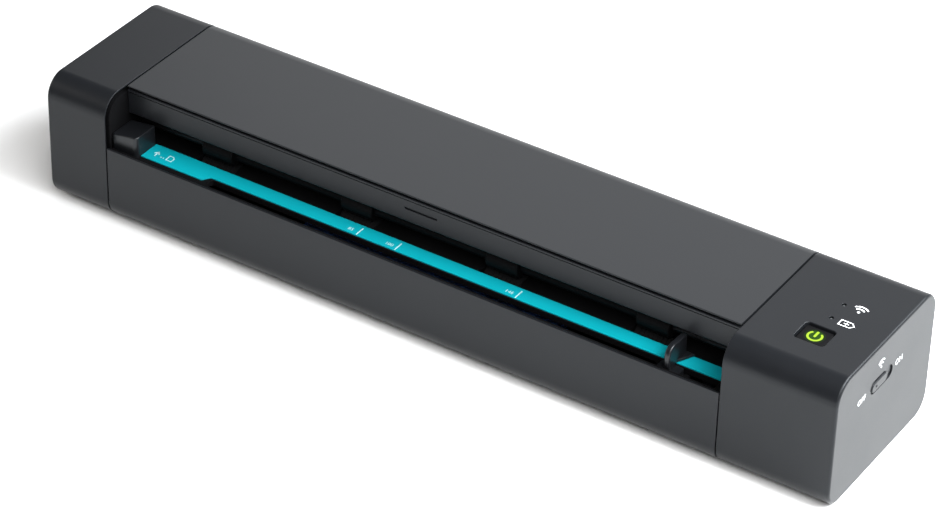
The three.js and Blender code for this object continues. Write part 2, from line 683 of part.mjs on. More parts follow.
function sideFrame(innerX, outwards) {
  const outerX = innerX + outwards * frame.thickness;
  const span = (from, to) => [from, to].sort((a, b) => a - b);
  const through = span(innerX - outwards * overrun, outerX + outwards * (collar.length + overrun));
  const shafts = [feedAxis, exitAxis];
  return cut(
    join(
      prismX(section(wall + fit), ...span(innerX, outerX)),
      ...shafts.map((axis) => (
        rodX(...axis, bearingBore + collar.wall, ...span(innerX, outerX + outwards * collar.length))
      )),
      rodX(hingeY, hingeZ, hinge.pinRadius, ...span(outerX, innerX - outwards * (fit + endPlate.thickness))),
    ),
    ...shafts.map((axis) => rodX(...axis, bearingBore, ...through)),
    ...bossPlaces.map(([y, z]) => rodX(y, z, boss.peg + closeFit, ...through, smallSides)),
  );
}

const leftFrameSolid = join(
  cut(sideFrame(leftSeam, -1),
    rodX(...motorAxis, motor.bossRadius + runGap, leftFrameOuterX - overrun, leftSeam + overrun)),
  rodX(...idlerAxis, gear.studRadius, studEndX.idler, leftFrameOuterX + closeFit),
  rodX(...idlerAxis, gear.hubRadius, nearPlane[1] + fit, leftFrameOuterX + closeFit),
  rodX(...reductionAxis, gear.studRadius, studEndX.reduction, leftFrameOuterX + closeFit),
  rodX(...reductionAxis, gear.hubRadius, nearPlane[1] + fit, leftFrameOuterX + closeFit),
);

const ribbon = { width: 7, sheet: 0.3, drop: 6, reach: 4, windowGap: 0.7 };
const ribbonZ = lowerSensorTopZ - ribbon.drop;
const ribbonY = centred(lowerSensorY + sensor.width / 2, ribbon.width);
const rightFrameSolid = cut(
  sideFrame(rightSeam, 1),
  block([rightSeam - overrun, rightFrameOuterX + overrun],
    [ribbonY[0] - ribbon.windowGap, ribbonY[1] + ribbon.windowGap],
    centred(ribbonZ, ribbon.sheet + 2 * ribbon.windowGap)),
);

// Inner frame of the opening top: end plates, a stepped sheet along the path and a front wall
const coverX0 = leftSeam + fit;
const coverX1 = rightSeam - fit;
const sheetZ = paperZ + backing.pathGap + backing.upperThickness;
const ceilingZ = pinchZ + pinch.radius + pinch.headroom;
const stepY = feedY + pinch.radius + pinch.headroom;
const sheetRearY = exitY + pinch.radius + frameSheet;
const frameFrontY = bandRearY + closeFit;
const stopY = [stepY + endPlate.stopGap, stepY + endPlate.stopGap + endPlate.stopLength];

const endPlateSolid = (from, to) => prismX(section(wall + fit), from, to).intersect(prismX([
  [frameFrontY, ceilingZ],
  [feedY - pinch.ear, ceilingZ],
  [feedY - pinch.ear, pinchZ - pinch.ear],
  [stepY, pinchZ - pinch.ear],
  [stepY, sheetZ],
  [stopY[0], sheetZ],
  [stopY[0], paperZ],
  [stopY[1], paperZ],
  [stopY[1], sheetZ],
  [sheetRearY, sheetZ],
  [halfDepth, sheetZ + endPlate.chamfer],
  [halfDepth, topZ],
  [frameFrontY, topZ],
], from, to));

// Bosses under the top cover, with pegs that sit in the inner frame
const coverBoss = { radius: 2.2, peg: 0.9, reach: 70 };
const coverBossY = (frameFrontY + frameSheet + stepY) / 2;
const coverBossPlaces = [-coverBoss.reach, 0, coverBoss.reach].map((reach) => (
  [paperMiddleX + reach, coverBossY]
));

const upperWindow = {
  y: [upperSensorY - sensor.windowGap, upperSensorY + sensor.width + sensor.windowGap],
  z: [sheetZ - overrun, sheetZ + frameSheet + overrun],
};
const pinchWindow = (x) => block(
  centred(x, pinch.width + 2 * roller.window),
  centred(exitY, 2 * (pinch.radius + closeFit)),
  upperWindow.z,
);
const upperFrameSolid = cut(
  join(
    endPlateSolid(coverX0, coverX0 + endPlate.thickness),
    endPlateSolid(coverX1 - endPlate.thickness, coverX1),
    prismX([
      [frameFrontY, ceilingZ],
      [stepY, ceilingZ],
      [stepY, sheetZ],
      [sheetRearY, sheetZ],
      [sheetRearY, sheetZ + frameSheet],
      [stepY + frameSheet, sheetZ + frameSheet],
      [stepY + frameSheet, ceilingZ + frameSheet],
      [frameFrontY + frameSheet, ceilingZ + frameSheet],
      [frameFrontY + frameSheet, underTopZ],
      [frameFrontY, underTopZ],
    ], coverX0 + endPlate.thickness / 2, coverX1 - endPlate.thickness / 2),
  ),
  block([sensorStartX - sensor.windowGap, sensorEndX + sensor.windowGap], upperWindow.y, upperWindow.z),
  ...rollerPlaces.map(pinchWindow),
  rodX(exitY, pinchZ, pinch.sleeve + fit, coverX0 + endPlate.thickness, coverX1 - endPlate.thickness),
  rodX(hingeY, hingeZ, hinge.pinRadius + runGap, coverX0 - overrun, coverX1 + overrun),
  ...[feedY, exitY].map((y) => rodX(y, pinchZ, pinch.shaft + runGap, coverX0 - overrun, coverX1 + overrun)),
  ...coverBossPlaces.map(([x, y]) => (
    rodZ(x, y, coverBoss.peg + closeFit, ceilingZ - overrun, ceilingZ + frameSheet + overrun, smallSides)
  )),
);

// Top cover: the top wall, its rear bend and a short rear skirt
const coverSolid = join(
  cut(
    prismX(section(0), coverX0, coverX1),
    prismX(section(wall), coverX0 - overrun, coverX1 + overrun),
    block([coverX0 - overrun, coverX1 + overrun], [-halfDepth - overrun, bandY], [0, topZ + overrun]),
    block([coverX0 - overrun, coverX1 + overrun], [bandY - overrun, halfDepth + overrun], [0, skirtBottomZ]),
  ),
  ...coverBossPlaces.flatMap(([x, y]) => [
    rodZ(x, y, coverBoss.radius, ceilingZ + frameSheet, topZ - wall / 2, smallSides),
    rodZ(x, y, coverBoss.peg, ceilingZ, ceilingZ + frameSheet + overrun, smallSides),
  ]),
);

const bandFrontY = bandY + band.setBack;
const gripX = centred((leftSeam + rightSeam) / 2, band.gripWidth);
const bandSolid = cut(
  block([coverX0, coverX1], [bandFrontY, bandRearY], [bandBottomZ, underTopZ]),
  block(gripX, [bandFrontY - overrun, bandFrontY + band.gripDepth],
    centred(topZ - band.gripDrop, band.gripHeight)),
);

// Shafts, rollers and gears, each built round its own axis and then placed
const driveEnds = [nearPlane[0] - fit, rightFrameOuterX];
const driveShaft = rodX(0, 0, roller.shaft, ...driveEnds);
function sleeve({ radius, width, shaft, sleeve: core }) {
  const ends = [rollerPlaces[0] - width / 2, rollerPlaces[rollerPlaces.length - 1] + width / 2];
  return cut(
    join(rodX(0, 0, core, ...ends), ...rollerPlaces.map((x) => rodX(0, 0, radius, ...centred(x, width)))),
    rodX(0, 0, shaft + runGap, ends[0] - overrun, ends[1] + overrun),
  );
}
const driveSleeve = sleeve(roller);
const pinchShaft = rodX(0, 0, pinch.shaft, coverX0 + closeFit, coverX1 - closeFit);
const pinchSleeve = sleeve(pinch);

function turned(mesh, turn) {
  mesh.rotation.x = turn;
  return mesh;
}

const driveBore = roller.shaft + runGap;
const feedDrive = assembly(
  piece('feed_shaft', driveShaft, 'steel', [0, ...feedAxis]),
  piece('feed_roller_sleeve', driveSleeve, 'rubber', [0, ...feedAxis]),
  piece('feed_gear', gearRing(gear.feedTeeth, driveBore), 'gearPlastic', [0, ...feedAxis]),
);
const exitDrive = assembly(
  piece('exit_shaft', driveShaft, 'steel', [0, ...exitAxis]),
  piece('exit_roller_sleeve', driveSleeve, 'rubber', [0, ...exitAxis]),
  turned(piece('exit_gear', gearRing(gear.exitTeeth, driveBore), 'gearPlastic', [0, ...exitAxis]), exitTurn),
);

const studBore = gear.studRadius + runGap;
const idlerSolid = gearRing(gear.idlerTeeth, studBore);
const reductionSolid = cut(
  join(
    prismX(gearOutline(gear.smallTeeth), farPlane[1] - closeFit, nearPlane[1]),
    prismX(gearOutline(gear.largeTeeth), ...farPlane),
  ),
  rodX(0, 0, studBore, farPlane[0] - overrun, nearPlane[1] + overrun),
);
const rotorSolid = join(
  rodX(0, 0, motor.shaftRadius, farPlane[0] - fit, leftSeam + motor.bossLength),
  prismX(gearOutline(gear.pinionTeeth), ...farPlane),
);

const gearTrain = assembly(
  turned(piece('idler_gear', idlerSolid, 'gearPlastic', [0, ...idlerAxis]), idlerTurn),
  turned(piece('reduction_gear', reductionSolid, 'gearPlastic', [0, ...reductionAxis]), reductionTurn),
  turned(piece('motor_pinion', rotorSolid, 'bronze', [0, ...motorAxis]), pinionTurn),
);

// Motor can: a round can with a flat top and bottom, and a bore for its shaft
const motorEndX = leftSeam + motor.length;
const motorSideY = centred(motorY, 2 * (motor.radius + overrun));
const motorSolid = cut(
  join(
    rodX(...motorAxis, motor.radius, leftSeam, motorEndX).intersect(
      block([leftSeam, motorEndX], motorSideY, centred(motorZ, motor.height)),
    ),
    rodX(...motorAxis, motor.bossRadius, leftSeam - motor.bossLength, leftSeam + motor.bossLength),
    rodX(...motorAxis, motor.bossRadius, motorEndX - closeFit, motorEndX + motor.capLength),
  ),
  rodX(...motorAxis, motor.shaftRadius + runGap, leftSeam - motor.capLength, leftSeam + motor.capLength),
);

// Screws under the housing: a round head with a cross in it and a plain shank
const cross = { width: 0.5, depth: 0.4, headShare: 1.2 };

function screw(x, y, headZ, headHeight, tipZ, headRadius) {
  const reach = headRadius * cross.headShare;
  const depth = [headZ - overrun, headZ + cross.depth];
  return cut(
    join(
      rodZ(x, y, headRadius, headZ, headZ + headHeight, smallSides),
      rodZ(x, y, housingScrew.shank, headZ + headHeight, tipZ, smallSides),
    ),
    block(centred(x, reach), centred(y, cross.width), depth),
    block(centred(x, cross.width), centred(y, reach), depth),
  );
}

const housingHeadZ = floorZ + housingScrew.well - housingScrew.headHeight;
const housingScrews = Object.entries(screwPlaces).map(([name, [x, y]]) => piece(
  `${name}_housing_screw`,
  screw(x, y, housingHeadZ, housingScrew.headHeight, floorZ + housingScrew.length, housingScrew.head),
  'steel',
));
const batteryScrewSolid = screw(batteryScrewX, batteryScrewY, floorZ, battery.screwHeadHeight,
  floorZ + battery.screwLength, battery.screwHead);

// Pinch springs: the front ones hang from the ceiling, the rear ones stand on the sheet
const pinchSpring = { width: 5, sheet: 0.3, pad: 1.4 };
const springPlaces = [betweenRollers[0], betweenRollers[2]];
const pinchSpringZ = pinchZ + pinch.sleeve + closeFit;
const springX = [springPlaces[0] - pinchSpring.width / 2, springPlaces[1] + pinchSpring.width / 2];
const frontPadY = [frameFrontY + frameSheet, frameFrontY + frameSheet + pinchSpring.pad];
const frontTongue = [
  [frontPadY[0], ceilingZ - pinchSpring.sheet],
  [frontPadY[1], ceilingZ - pinchSpring.sheet],
  [feedY + pinch.shaft, pinchSpringZ],
  [feedY + pinch.shaft, pinchSpringZ + pinchSpring.sheet],
  [frontPadY[1], ceilingZ],
  [frontPadY[0], ceilingZ],
];
const frontSpringSolid = join(
  block(springX, frontPadY, [ceilingZ - pinchSpring.sheet, ceilingZ]),
  ...springPlaces.map((x) => prismX(frontTongue, ...centred(x, pinchSpring.width))),
);
const rearPadY = [sheetRearY - pinchSpring.pad, sheetRearY];
const rearPadZ = sheetZ + frameSheet;
const rearTongue = [
  [rearPadY[0], rearPadZ],
  [rearPadY[1], rearPadZ],
  [rearPadY[1], rearPadZ + pinchSpring.sheet],
  [rearPadY[0] + pinchSpring.sheet, rearPadZ + pinchSpring.sheet],
  [rearPadY[0] + pinchSpring.sheet, pinchSpringZ + pinchSpring.sheet],
  [exitY - pinch.shaft, pinchSpringZ + pinchSpring.sheet],
  [exitY - pinch.shaft, pinchSpringZ],
  [rearPadY[0], pinchSpringZ],
];
const rearSpringSolid = join(
  block(springX, rearPadY, [rearPadZ, rearPadZ + pinchSpring.sheet]),
  ...springPlaces.map((x) => prismX(rearTongue, ...centred(x, pinchSpring.width))),
);

// Springs of the sensors: a long steel strip that is bent up over each rest
function stripSpring(low, high) {
  const under = restPlaces.flatMap((x) => [
    [x - rest.bendReach, low],
    [x, high - rest.sheet],
    [x + rest.bendReach, low],
  ]);
  const over = [...restPlaces].reverse().flatMap((x) => [
    [x + rest.bendReach + rest.sheet, low + rest.sheet],
    [x + rest.sheet, high],
    [x - rest.sheet, high],
    [x - rest.bendReach - rest.sheet, low + rest.sheet],
  ]);
  const startX = restPlaces[0] - rest.width / 2;
  const endX = restPlaces[1] + rest.width / 2;
  return [
    [startX, low],
    ...under,
    [endX, low],
    [endX, low + rest.sheet],
    ...over,
    [startX, low + rest.sheet],
  ];
}

const sensorSpring = (startY, low, high) => prismY(
  stripSpring(low, high), startY + sensor.chamfer, startY + sensor.width - sensor.chamfer,
);
const upperSensorZ = sheetZ + sensor.glass;
const lowerSpringSolid = sensorSpring(lowerSensorY, restTopZ, lowerSensorBottomZ - closeFit);
const upperSpringSolid = sensorSpring(upperSensorY, upperSensorZ + sensor.height, underTopZ - closeFit);

// Rubber feet
const feet = footPlaces.map(([x, y]) => {
  const side = x < 0 ? 'left' : 'right';
  const end = y < 0 ? 'front' : 'rear';
  return piece(`${side}_${end}_foot`, rodZ(x, y, foot.radius, 0, footTopZ), 'rubber');
});

// Battery and its cover
const coverY = [batteryY[0] + fit, batteryY[1] - fit];
const batterySolid = prismX(
  roundedRectangle(coverY, batteryZ, evenCorners(battery.corner), edgeSteps),
  batteryX[0] + fit, batteryX[1] - fit,
);
const batteryCoverSolid = cut(
  join(
    block([batteryCoverX[0] + fit, batteryCoverX[1] - fit], coverY, [floorZ, coverLedgeZ]),
    block([batteryX[0] + fit, batteryX[1] - fit], coverY, [floorZ, insideFloorZ]),
  ),
  rodZ(batteryScrewX, batteryScrewY, housingScrew.shank + closeFit,
    floorZ - overrun, coverLedgeZ + overrun, smallSides),
  rodZ(batteryScrewX, batteryScrewY, battery.screwHead + closeFit,
    floorZ - overrun, floorZ + battery.screwHeadHeight),
);

// Board, switches, lights and sockets
const boardSolid = cut(
  block(boardX, boardY, [boardZ, boardTopZ]),
  ...boardPosts.map(([x, y]) => (
    rodZ(x, y, board.peg + closeFit, boardZ - overrun, boardTopZ + overrun, smallSides)
  )),
);

const tact = { size: 6, height: 3.4, plungerRadius: 1.6, well: 1.4 };
const tactTopZ = boardTopZ + tact.height;
const tactSolid = cut(
  block(centred(buttonX, tact.size), centred(button.y, tact.size), [boardTopZ, tactTopZ]),
  rodZ(buttonX, button.y, tact.plungerRadius + closeFit, tactTopZ - tact.well, tactTopZ + overrun),
);

const buttonRoof = buttonWell(0);
const buttonFlange = roundedRectangle(
  centred(buttonX, button.width + 2 * button.flange),
  centred(button.y, button.depth + 2 * button.flange),
  evenCorners(button.corner), edgeSteps,
);
const flangeTopZ = underTopZ - fit;
const buttonSolid = join(
  prismZ(buttonRoof, flangeTopZ - button.flangeThickness, buttonZ),
  prismZ(buttonFlange, flangeTopZ - button.flangeThickness, flangeTopZ),
  rodZ(buttonX, button.y, tact.plungerRadius, tactTopZ - tact.well + button.travel + closeFit,
    flangeTopZ - button.flangeThickness + closeFit),
);

const lightGuideSolid = join(
  block(centred(buttonX, 2 * lights.radius), lights.places, [boardTopZ, boardTopZ + lights.bar]),
  ...lights.places.map((y) => rodZ(buttonX, y, lights.radius, boardTopZ, topZ - lights.sunk)),
);

const innerWallX = halfLength - endWall;
const knobRound = modeSwitch.slotHeight / 2 - fit;
const knobFlangeX = [innerWallX - fit - modeSwitch.flangeThickness, innerWallX - fit];
const knobSolid = join(
  prismX(roundedRectangle(centred(modeKnobY, modeSwitch.knobLength - 2 * closeFit),
    centred(modeSwitchZ, modeSwitch.slotHeight - 2 * fit), evenCorners(knobRound - closeFit)),
  knobFlangeX[0], halfLength + modeSwitch.proud),
  block(knobFlangeX, [
    modeKnobY - modeSwitch.knobLength / 2 - modeSwitchTravel - modeSwitch.flange,
    modeKnobY + modeSwitch.knobLength / 2 + modeSwitchTravel + modeSwitch.flange,
  ], centred(modeSwitchZ, modeSwitch.flangeHeight)),
);
const modeBodyX = [knobFlangeX[0] - fit - modeSwitch.bodyDepth, knobFlangeX[0] - fit];
const modeBodySolid = block(modeBodyX, centred(modeSwitch.y, modeSwitch.slotLength),
  [boardTopZ, boardTopZ + modeSwitch.bodyHeight]);

function socket(x, depth, height, mouth) {
  const y = [halfDepth - wall / 2 - depth, halfDepth - wall / 2];
  const z = [boardTopZ, boardTopZ + height];
  return cut(
    block(x, y, z),
    block([x[0] + mouth, x[1] - mouth], [y[0] + depth / 2, y[1] + overrun], [z[0] + mouth, z[1] - mouth]),
  );
}

// Ribbon cable from the lower sensor to the underside of the board
const ribbonEndX = boardX[0] + ribbon.reach;
const ribbonSolid = prismY([
  [sensorEndX, ribbonZ],
  [ribbonEndX, ribbonZ],
  [ribbonEndX, boardZ],
  [ribbonEndX - ribbon.sheet, boardZ],
  [ribbonEndX - ribbon.sheet, ribbonZ + ribbon.sheet],
  [sensorEndX, ribbonZ + ribbon.sheet],
], ...ribbonY);

// The base: everything that stays still
const base = assembly(
  piece('lower_housing', housingSolid, 'shell'),
  piece('left_end_cap', leftCapSolid, 'shell'),
  piece('right_end_cap', rightCapSolid, 'shell'),
  piece('left_side_frame', leftFrameSolid, 'black'),
  piece('right_side_frame', rightFrameSolid, 'black'),
  piece('feed_table', tableSolid, 'black'),
  piece('size_strip', prismZ(stripOutline(), paperZ, paperZ + strip.thickness), 'strip'),
  piece('fixed_paper_guide', fixedGuideSolid, 'shell'),
  piece('lower_image_sensor', sensorBar(lowerSensorY, lowerSensorTopZ, -1), 'black'),
  piece('lower_scan_glass', glassPlate(lowerSensorY, lowerSensorTopZ), 'glass'),
  piece('lower_white_backing', block([sensorStartX + fit, sensorEndX - fit],
    [upperBackingY[0] + fit, upperBackingY[1] - fit], [paperZ - backing.thickness, paperZ]), 'white'),
  piece('lower_sensor_spring', lowerSpringSolid, 'steel'),
  piece('feed_motor', motorSolid, 'steel'),
  ...housingScrews,
  ...feet,
  piece('battery_pack', batterySolid, 'cell'),
  piece('battery_cover', batteryCoverSolid, 'shell'),
  piece('battery_cover_screw', batteryScrewSolid, 'steel'),
  piece('main_board', boardSolid, 'board'),
  piece('power_switch', tactSolid, 'black'),
  piece('status_light_guide', lightGuideSolid, 'light'),
  piece('mode_switch_body', modeBodySolid, 'black'),
  piece('usb_socket', socket(usbX, usb.depth, usb.height, usb.shellThickness), 'steel'),
  piece('card_socket', socket(cardX, card.depth, card.height, (card.height - card.slot) / 2), 'steel'),
  piece('paper_detector', block(centred(paperMiddleX, detector.width), centred(detectorY, detector.depth),
    [tableBottomZ - detector.height, tableBottomZ]), 'black'),
  piece('lower_sensor_ribbon', ribbonSolid, 'ribbon'),
);

// The opening top
const upperUnit = assembly(
  piece('top_cover', coverSolid, 'shell'),
  piece('front_band', bandSolid, 'shell'),
  piece('upper_frame', upperFrameSolid, 'black'),
  piece('upper_image_sensor', sensorBar(upperSensorY, upperSensorZ, 1), 'black'),
  piece('upper_scan_glass', glassPlate(upperSensorY, sheetZ), 'glass'),
  piece('upper_white_backing', block([sensorStartX, sensorEndX], [lowerSensorY, lowerSensorY + sensor.width],
    [sheetZ - backing.upperThickness, sheetZ]), 'white'),
  piece('upper_sensor_spring', upperSpringSolid, 'steel'),
  piece('front_pinch_spring', frontSpringSolid, 'steel'),
  piece('rear_pinch_spring', rearSpringSolid, 'steel'),
  assembly(
    piece('front_pinch_shaft', pinchShaft, 'steel', [0, feedY, pinchZ]),
    piece('front_pinch_sleeve', pinchSleeve, 'gearPlastic', [0, feedY, pinchZ]),
  ),
  assembly(
    piece('rear_pinch_shaft', pinchShaft, 'steel', [0, exitY, pinchZ]),
    piece('rear_pinch_sleeve', pinchSleeve, 'gearPlastic', [0, exitY, pinchZ]),
  ),
);

// What is slid or pressed by hand
const controls = assembly(
  piece('sliding_paper_guide', slidingGuideSolid, 'shell'),
  piece('guide_carriage', carriageSolid, 'black'),
  piece('power_button', buttonSolid, 'black'),
  piece('mode_switch_knob', knobSolid, 'shell'),
);

const scanner = assembly(base, upperUnit, feedDrive, exitDrive, gearTrain, controls);

export default scanner;
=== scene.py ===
# %% [markdown]
# # A portable document scanner
# The scanner is a black bar, a little longer than a sheet of paper is wide. A sheet goes in at the front
# mouth, rollers draw it past two scan bars, and it comes out at the rear.
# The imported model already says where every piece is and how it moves. Here each piece that shows gets a
# finely shaped mesh and a finish, in the same place and at the same size.

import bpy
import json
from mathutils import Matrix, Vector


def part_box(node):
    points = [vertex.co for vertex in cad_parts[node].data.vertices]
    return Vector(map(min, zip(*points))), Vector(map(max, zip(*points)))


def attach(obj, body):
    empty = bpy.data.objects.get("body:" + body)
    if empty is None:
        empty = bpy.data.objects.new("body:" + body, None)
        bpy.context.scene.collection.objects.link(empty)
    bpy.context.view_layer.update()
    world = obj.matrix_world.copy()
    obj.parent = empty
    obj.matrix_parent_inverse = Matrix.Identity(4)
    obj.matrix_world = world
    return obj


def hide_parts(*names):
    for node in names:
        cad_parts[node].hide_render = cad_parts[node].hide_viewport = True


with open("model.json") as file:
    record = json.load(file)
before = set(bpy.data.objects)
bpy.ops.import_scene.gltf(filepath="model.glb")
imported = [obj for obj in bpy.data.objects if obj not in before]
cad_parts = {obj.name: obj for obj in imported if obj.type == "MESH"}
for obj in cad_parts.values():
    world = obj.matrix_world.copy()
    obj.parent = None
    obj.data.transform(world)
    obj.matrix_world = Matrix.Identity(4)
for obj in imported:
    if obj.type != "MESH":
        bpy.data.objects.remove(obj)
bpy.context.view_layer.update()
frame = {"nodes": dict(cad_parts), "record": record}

# %% [markdown]
# ## Work in millimetres
# Blender counts in metres, but a maker thinks of a wall as 1.8 and not as 0.0018. So every size in this
# lesson is in millimetres, and it is turned into metres only where a mesh is made. A place comes from the
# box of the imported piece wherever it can, so that the two can't drift apart.

# %% Millimetres and the main places
import json
from math import cos, pi, radians, sin

import bmesh
import bpy
from mathutils import Matrix, Vector

MM = 0.001


def box_mm(node):
    """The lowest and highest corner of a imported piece, in millimetres."""
    low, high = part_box(node)
    return low / MM, high / MM


def spans_of(node):
    """The (low, high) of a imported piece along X, along Y and along Z."""
    return tuple(zip(*box_mm(node)))


def middle_of(span):
    return (span[0] + span[1]) / 2


def middle_xy(node):
    return tuple(middle_of(span) for span in spans_of(node)[:2])


housing_low, housing_high = box_mm("lower_housing")
LEFT_SEAM, RIGHT_SEAM = housing_low.x, housing_high.x
FRONT, REAR = housing_low.y, housing_high.y
LEFT_END = box_mm("left_end_cap")[0].x
RIGHT_END = box_mm("right_end_cap")[1].x
UNDER, TOP = housing_low.z, box_mm("right_end_cap")[1].z
print("body", round(RIGHT_END - LEFT_END, 1), "by", round(REAR - FRONT, 1), "by", round(TOP - UNDER, 1), "mm")

# %% [markdown]
# ## The camera
# The photograph looks down on the bar from its right front corner. Its long edges draw together a little,
# which tells how far away the camera stood, and the lens follows from that. The camera's own axes are
# built by hand here: back points from the object to the camera, right and up span the picture.

# %% The camera
CAMERA_AZIMUTH = radians(32.381)
CAMERA_ELEVATION = radians(35.104)
CAMERA_ROLL = radians(1.460)
CAMERA_DISTANCE = 1188.971
CAMERA_RIGHT = -1.266
CAMERA_UP = 13.824
LENS = 139.061
SENSOR_WIDTH = 36

back = Vector((
    sin(CAMERA_AZIMUTH) * cos(CAMERA_ELEVATION),
    -cos(CAMERA_AZIMUTH) * cos(CAMERA_ELEVATION),
    sin(CAMERA_ELEVATION),
))
level_right = Vector((cos(CAMERA_AZIMUTH), sin(CAMERA_AZIMUTH), 0))
level_up = back.cross(level_right)
right = level_right * cos(CAMERA_ROLL) + level_up * sin(CAMERA_ROLL)
up = level_up * cos(CAMERA_ROLL) - level_right * sin(CAMERA_ROLL)
eye = back * CAMERA_DISTANCE + right * CAMERA_RIGHT + up * CAMERA_UP + Vector((0, 0, UNDER))


def add_object(name, data):
    """A new object in the scene that shows the data."""
    thing = bpy.data.objects.new(name, data)
    bpy.context.scene.collection.objects.link(thing)
    return thing


camera_data = bpy.data.cameras.new("camera")
camera_data.lens = LENS
camera_data.sensor_width = SENSOR_WIDTH
camera_data.clip_start = 0.05
camera_data.clip_end = 20
camera = add_object("camera", camera_data)
camera.matrix_world = Matrix.Translation(eye * MM) @ Matrix((right, up, back)).transposed().to_4x4()
bpy.context.scene.camera = camera
print("camera at", [round(value) for value in eye], "mm")

# %% [markdown]
# ## Node helpers
# A finish is a small network of nodes. Two things are written again and again: adding a node with its
# settings, and linking two sockets. Short helpers for both, and one that finds the shader of a material,
# keep the finishes readable.


# %% Node helpers
def add_node(material, kind, **inputs):
    """Adds a node, and sets the inputs that are named."""
    node = material.node_tree.nodes.new(kind)
    for name, value in inputs.items():
        node.inputs[name.replace("_", " ")].default_value = value
    return node


def link(material, output, socket):
    material.node_tree.links.new(output, socket)


def shader_of(material):
    return material.node_tree.nodes["Principled BSDF"]


# %% [markdown]
# ## One recipe for moulded and ground surfaces
# No real surface has one flat colour. The recipe mixes two close tones in soft patches, lets the gloss
# wander a little with them, and presses a fine grain into the surface as a bump. Patch, grain and depth are
# given in millimetres, so each finish can be compared with a real one under a ruler. The numbers that are
# the same all over a surface go straight on the shader's own sockets.

# %% The recipe for a finish
FINISHES = {}


def grain_of(material, place, size, detail):
    """A noise texture whose bumps are about as large as size, in millimetres."""
    noise = add_node(material, "ShaderNodeTexNoise", Scale=1 / (size * MM), Detail=detail)
    link(material, place, noise.inputs["Vector"])
    return noise


def finish(slot, dark, light, gloss, patch=14, grain=0.25, depth=0.006, stretch=(1, 1, 1), **surface):
    """A finish with two tones, an uneven gloss and a grain. Gloss is the lowest and highest roughness."""
    material = bpy.data.materials.new(slot)
    material.use_nodes = True
    shader = shader_of(material)
    for name, value in surface.items():
        shader.inputs[name.replace("_", " ")].default_value = value
    coordinates = add_node(material, "ShaderNodeTexCoord")
    mapping = add_node(material, "ShaderNodeMapping", Scale=stretch)
    link(material, coordinates.outputs["Object"], mapping.inputs["Vector"])
    patches = grain_of(material, mapping.outputs["Vector"], patch, 4)
    tones = add_node(material, "ShaderNodeMix")
    tones.data_type = "RGBA"
    tones.inputs["A"].default_value = (*dark, 1)
    tones.inputs["B"].default_value = (*light, 1)
    link(material, patches.outputs["Fac"], tones.inputs["Factor"])
    link(material, tones.outputs["Result"], shader.inputs["Base Color"])
    sheen = add_node(material, "ShaderNodeMapRange", To_Min=gloss[0], To_Max=gloss[1])
    link(material, patches.outputs["Fac"], sheen.inputs["Value"])
    link(material, sheen.outputs["Result"], shader.inputs["Roughness"])
    fine = grain_of(material, mapping.outputs["Vector"], grain, 2)
    bump = add_node(material, "ShaderNodeBump", Strength=1, Distance=depth * MM)
    link(material, fine.outputs["Fac"], bump.inputs["Height"])
    link(material, bump.outputs["Normal"], shader.inputs["Normal"])
    FINISHES[slot] = material
    return material


# %% [markdown]
# ## The finishes
# The shell is charcoal plastic with a fine spark-eroded grain: nearly black in itself, it owes its greys to
# the light that it reflects. The lid and the two paper guides are the same plastic, a little glossier. The
# black plastic of the paper path carries painted shade: it is darker and duller than the plastic itself, with
# almost no reflection, so that the mouth reads as black. The rollers are dull rubber, the gears natural
# nylon, and the shafts ground steel, whose grain is stretched along the shaft. A finish has the name of the
# slot that it fills in the parts record, or its own name where only the picture needs it.

# %% The finishes
COOL_SHEEN = (0.93, 0.97, 1, 1)

finish("shell", (0.0064, 0.007, 0.0084), (0.0082, 0.0088, 0.0102), (0.31, 0.37), depth=0.006,
       Specular_IOR_Level=0.21, Specular_Tint=COOL_SHEEN)
finish("lid_shell", (0.0076, 0.0082, 0.0096), (0.0094, 0.01, 0.0114), (0.3, 0.36), depth=0.005,
       Specular_IOR_Level=0.42, Specular_Tint=COOL_SHEEN)
finish("guide_shell", (0.0056, 0.006, 0.0072), (0.0072, 0.0078, 0.009), (0.26, 0.32), depth=0.003,
       Specular_IOR_Level=0.32, Specular_Tint=COOL_SHEEN)
# Painted shade: black plastic darker and duller than its own colour, nearly without reflection, so the mouth
# reads black.
finish("black_plastic", (0.0024, 0.0024, 0.0027), (0.004, 0.004, 0.0044), (0.5, 0.6), grain=0.3,
       Specular_IOR_Level=0.06)
finish("size_strip", (0.0, 0.28, 0.335), (0.0, 0.315, 0.375), (0.38, 0.46), patch=22, grain=0.5, depth=0.003)
finish("steel", (0.52, 0.53, 0.54), (0.62, 0.63, 0.64), (0.22, 0.34), grain=0.12, stretch=(0.06, 1, 1),
       Metallic=1)
finish("blackened_steel", (0.012, 0.012, 0.013), (0.02, 0.02, 0.022), (0.4, 0.5), grain=0.12,
       stretch=(0.06, 1, 1), Metallic=0.8)
finish("rubber", (0.0025, 0.0025, 0.003), (0.004, 0.004, 0.0045), (0.72, 0.86), patch=6, grain=0.35,
       depth=0.03, Specular_IOR_Level=0.1)
finish("gear_plastic", (0.70, 0.67, 0.58), (0.76, 0.73, 0.65), (0.4, 0.5), patch=8)
finish("white_plastic", (0.84, 0.84, 0.83), (0.9, 0.9, 0.89), (0.5, 0.6), patch=10)
finish("circuit_board", (0.012, 0.085, 0.035), (0.02, 0.12, 0.05), (0.25, 0.4), patch=5, grain=0.8)
finish("bronze", (0.24, 0.16, 0.07), (0.36, 0.25, 0.11), (0.4, 0.55), patch=2, grain=0.2, Metallic=0.9)
finish("light_guide", (0.03, 0.032, 0.034), (0.05, 0.053, 0.055), (0.2, 0.3), patch=4)
finish("ribbon", (0.66, 0.68, 0.7), (0.72, 0.74, 0.76), (0.25, 0.35), patch=7)
finish("battery_wrap", (0.03, 0.07, 0.19), (0.04, 0.09, 0.23), (0.2, 0.32), patch=12, grain=1.5)
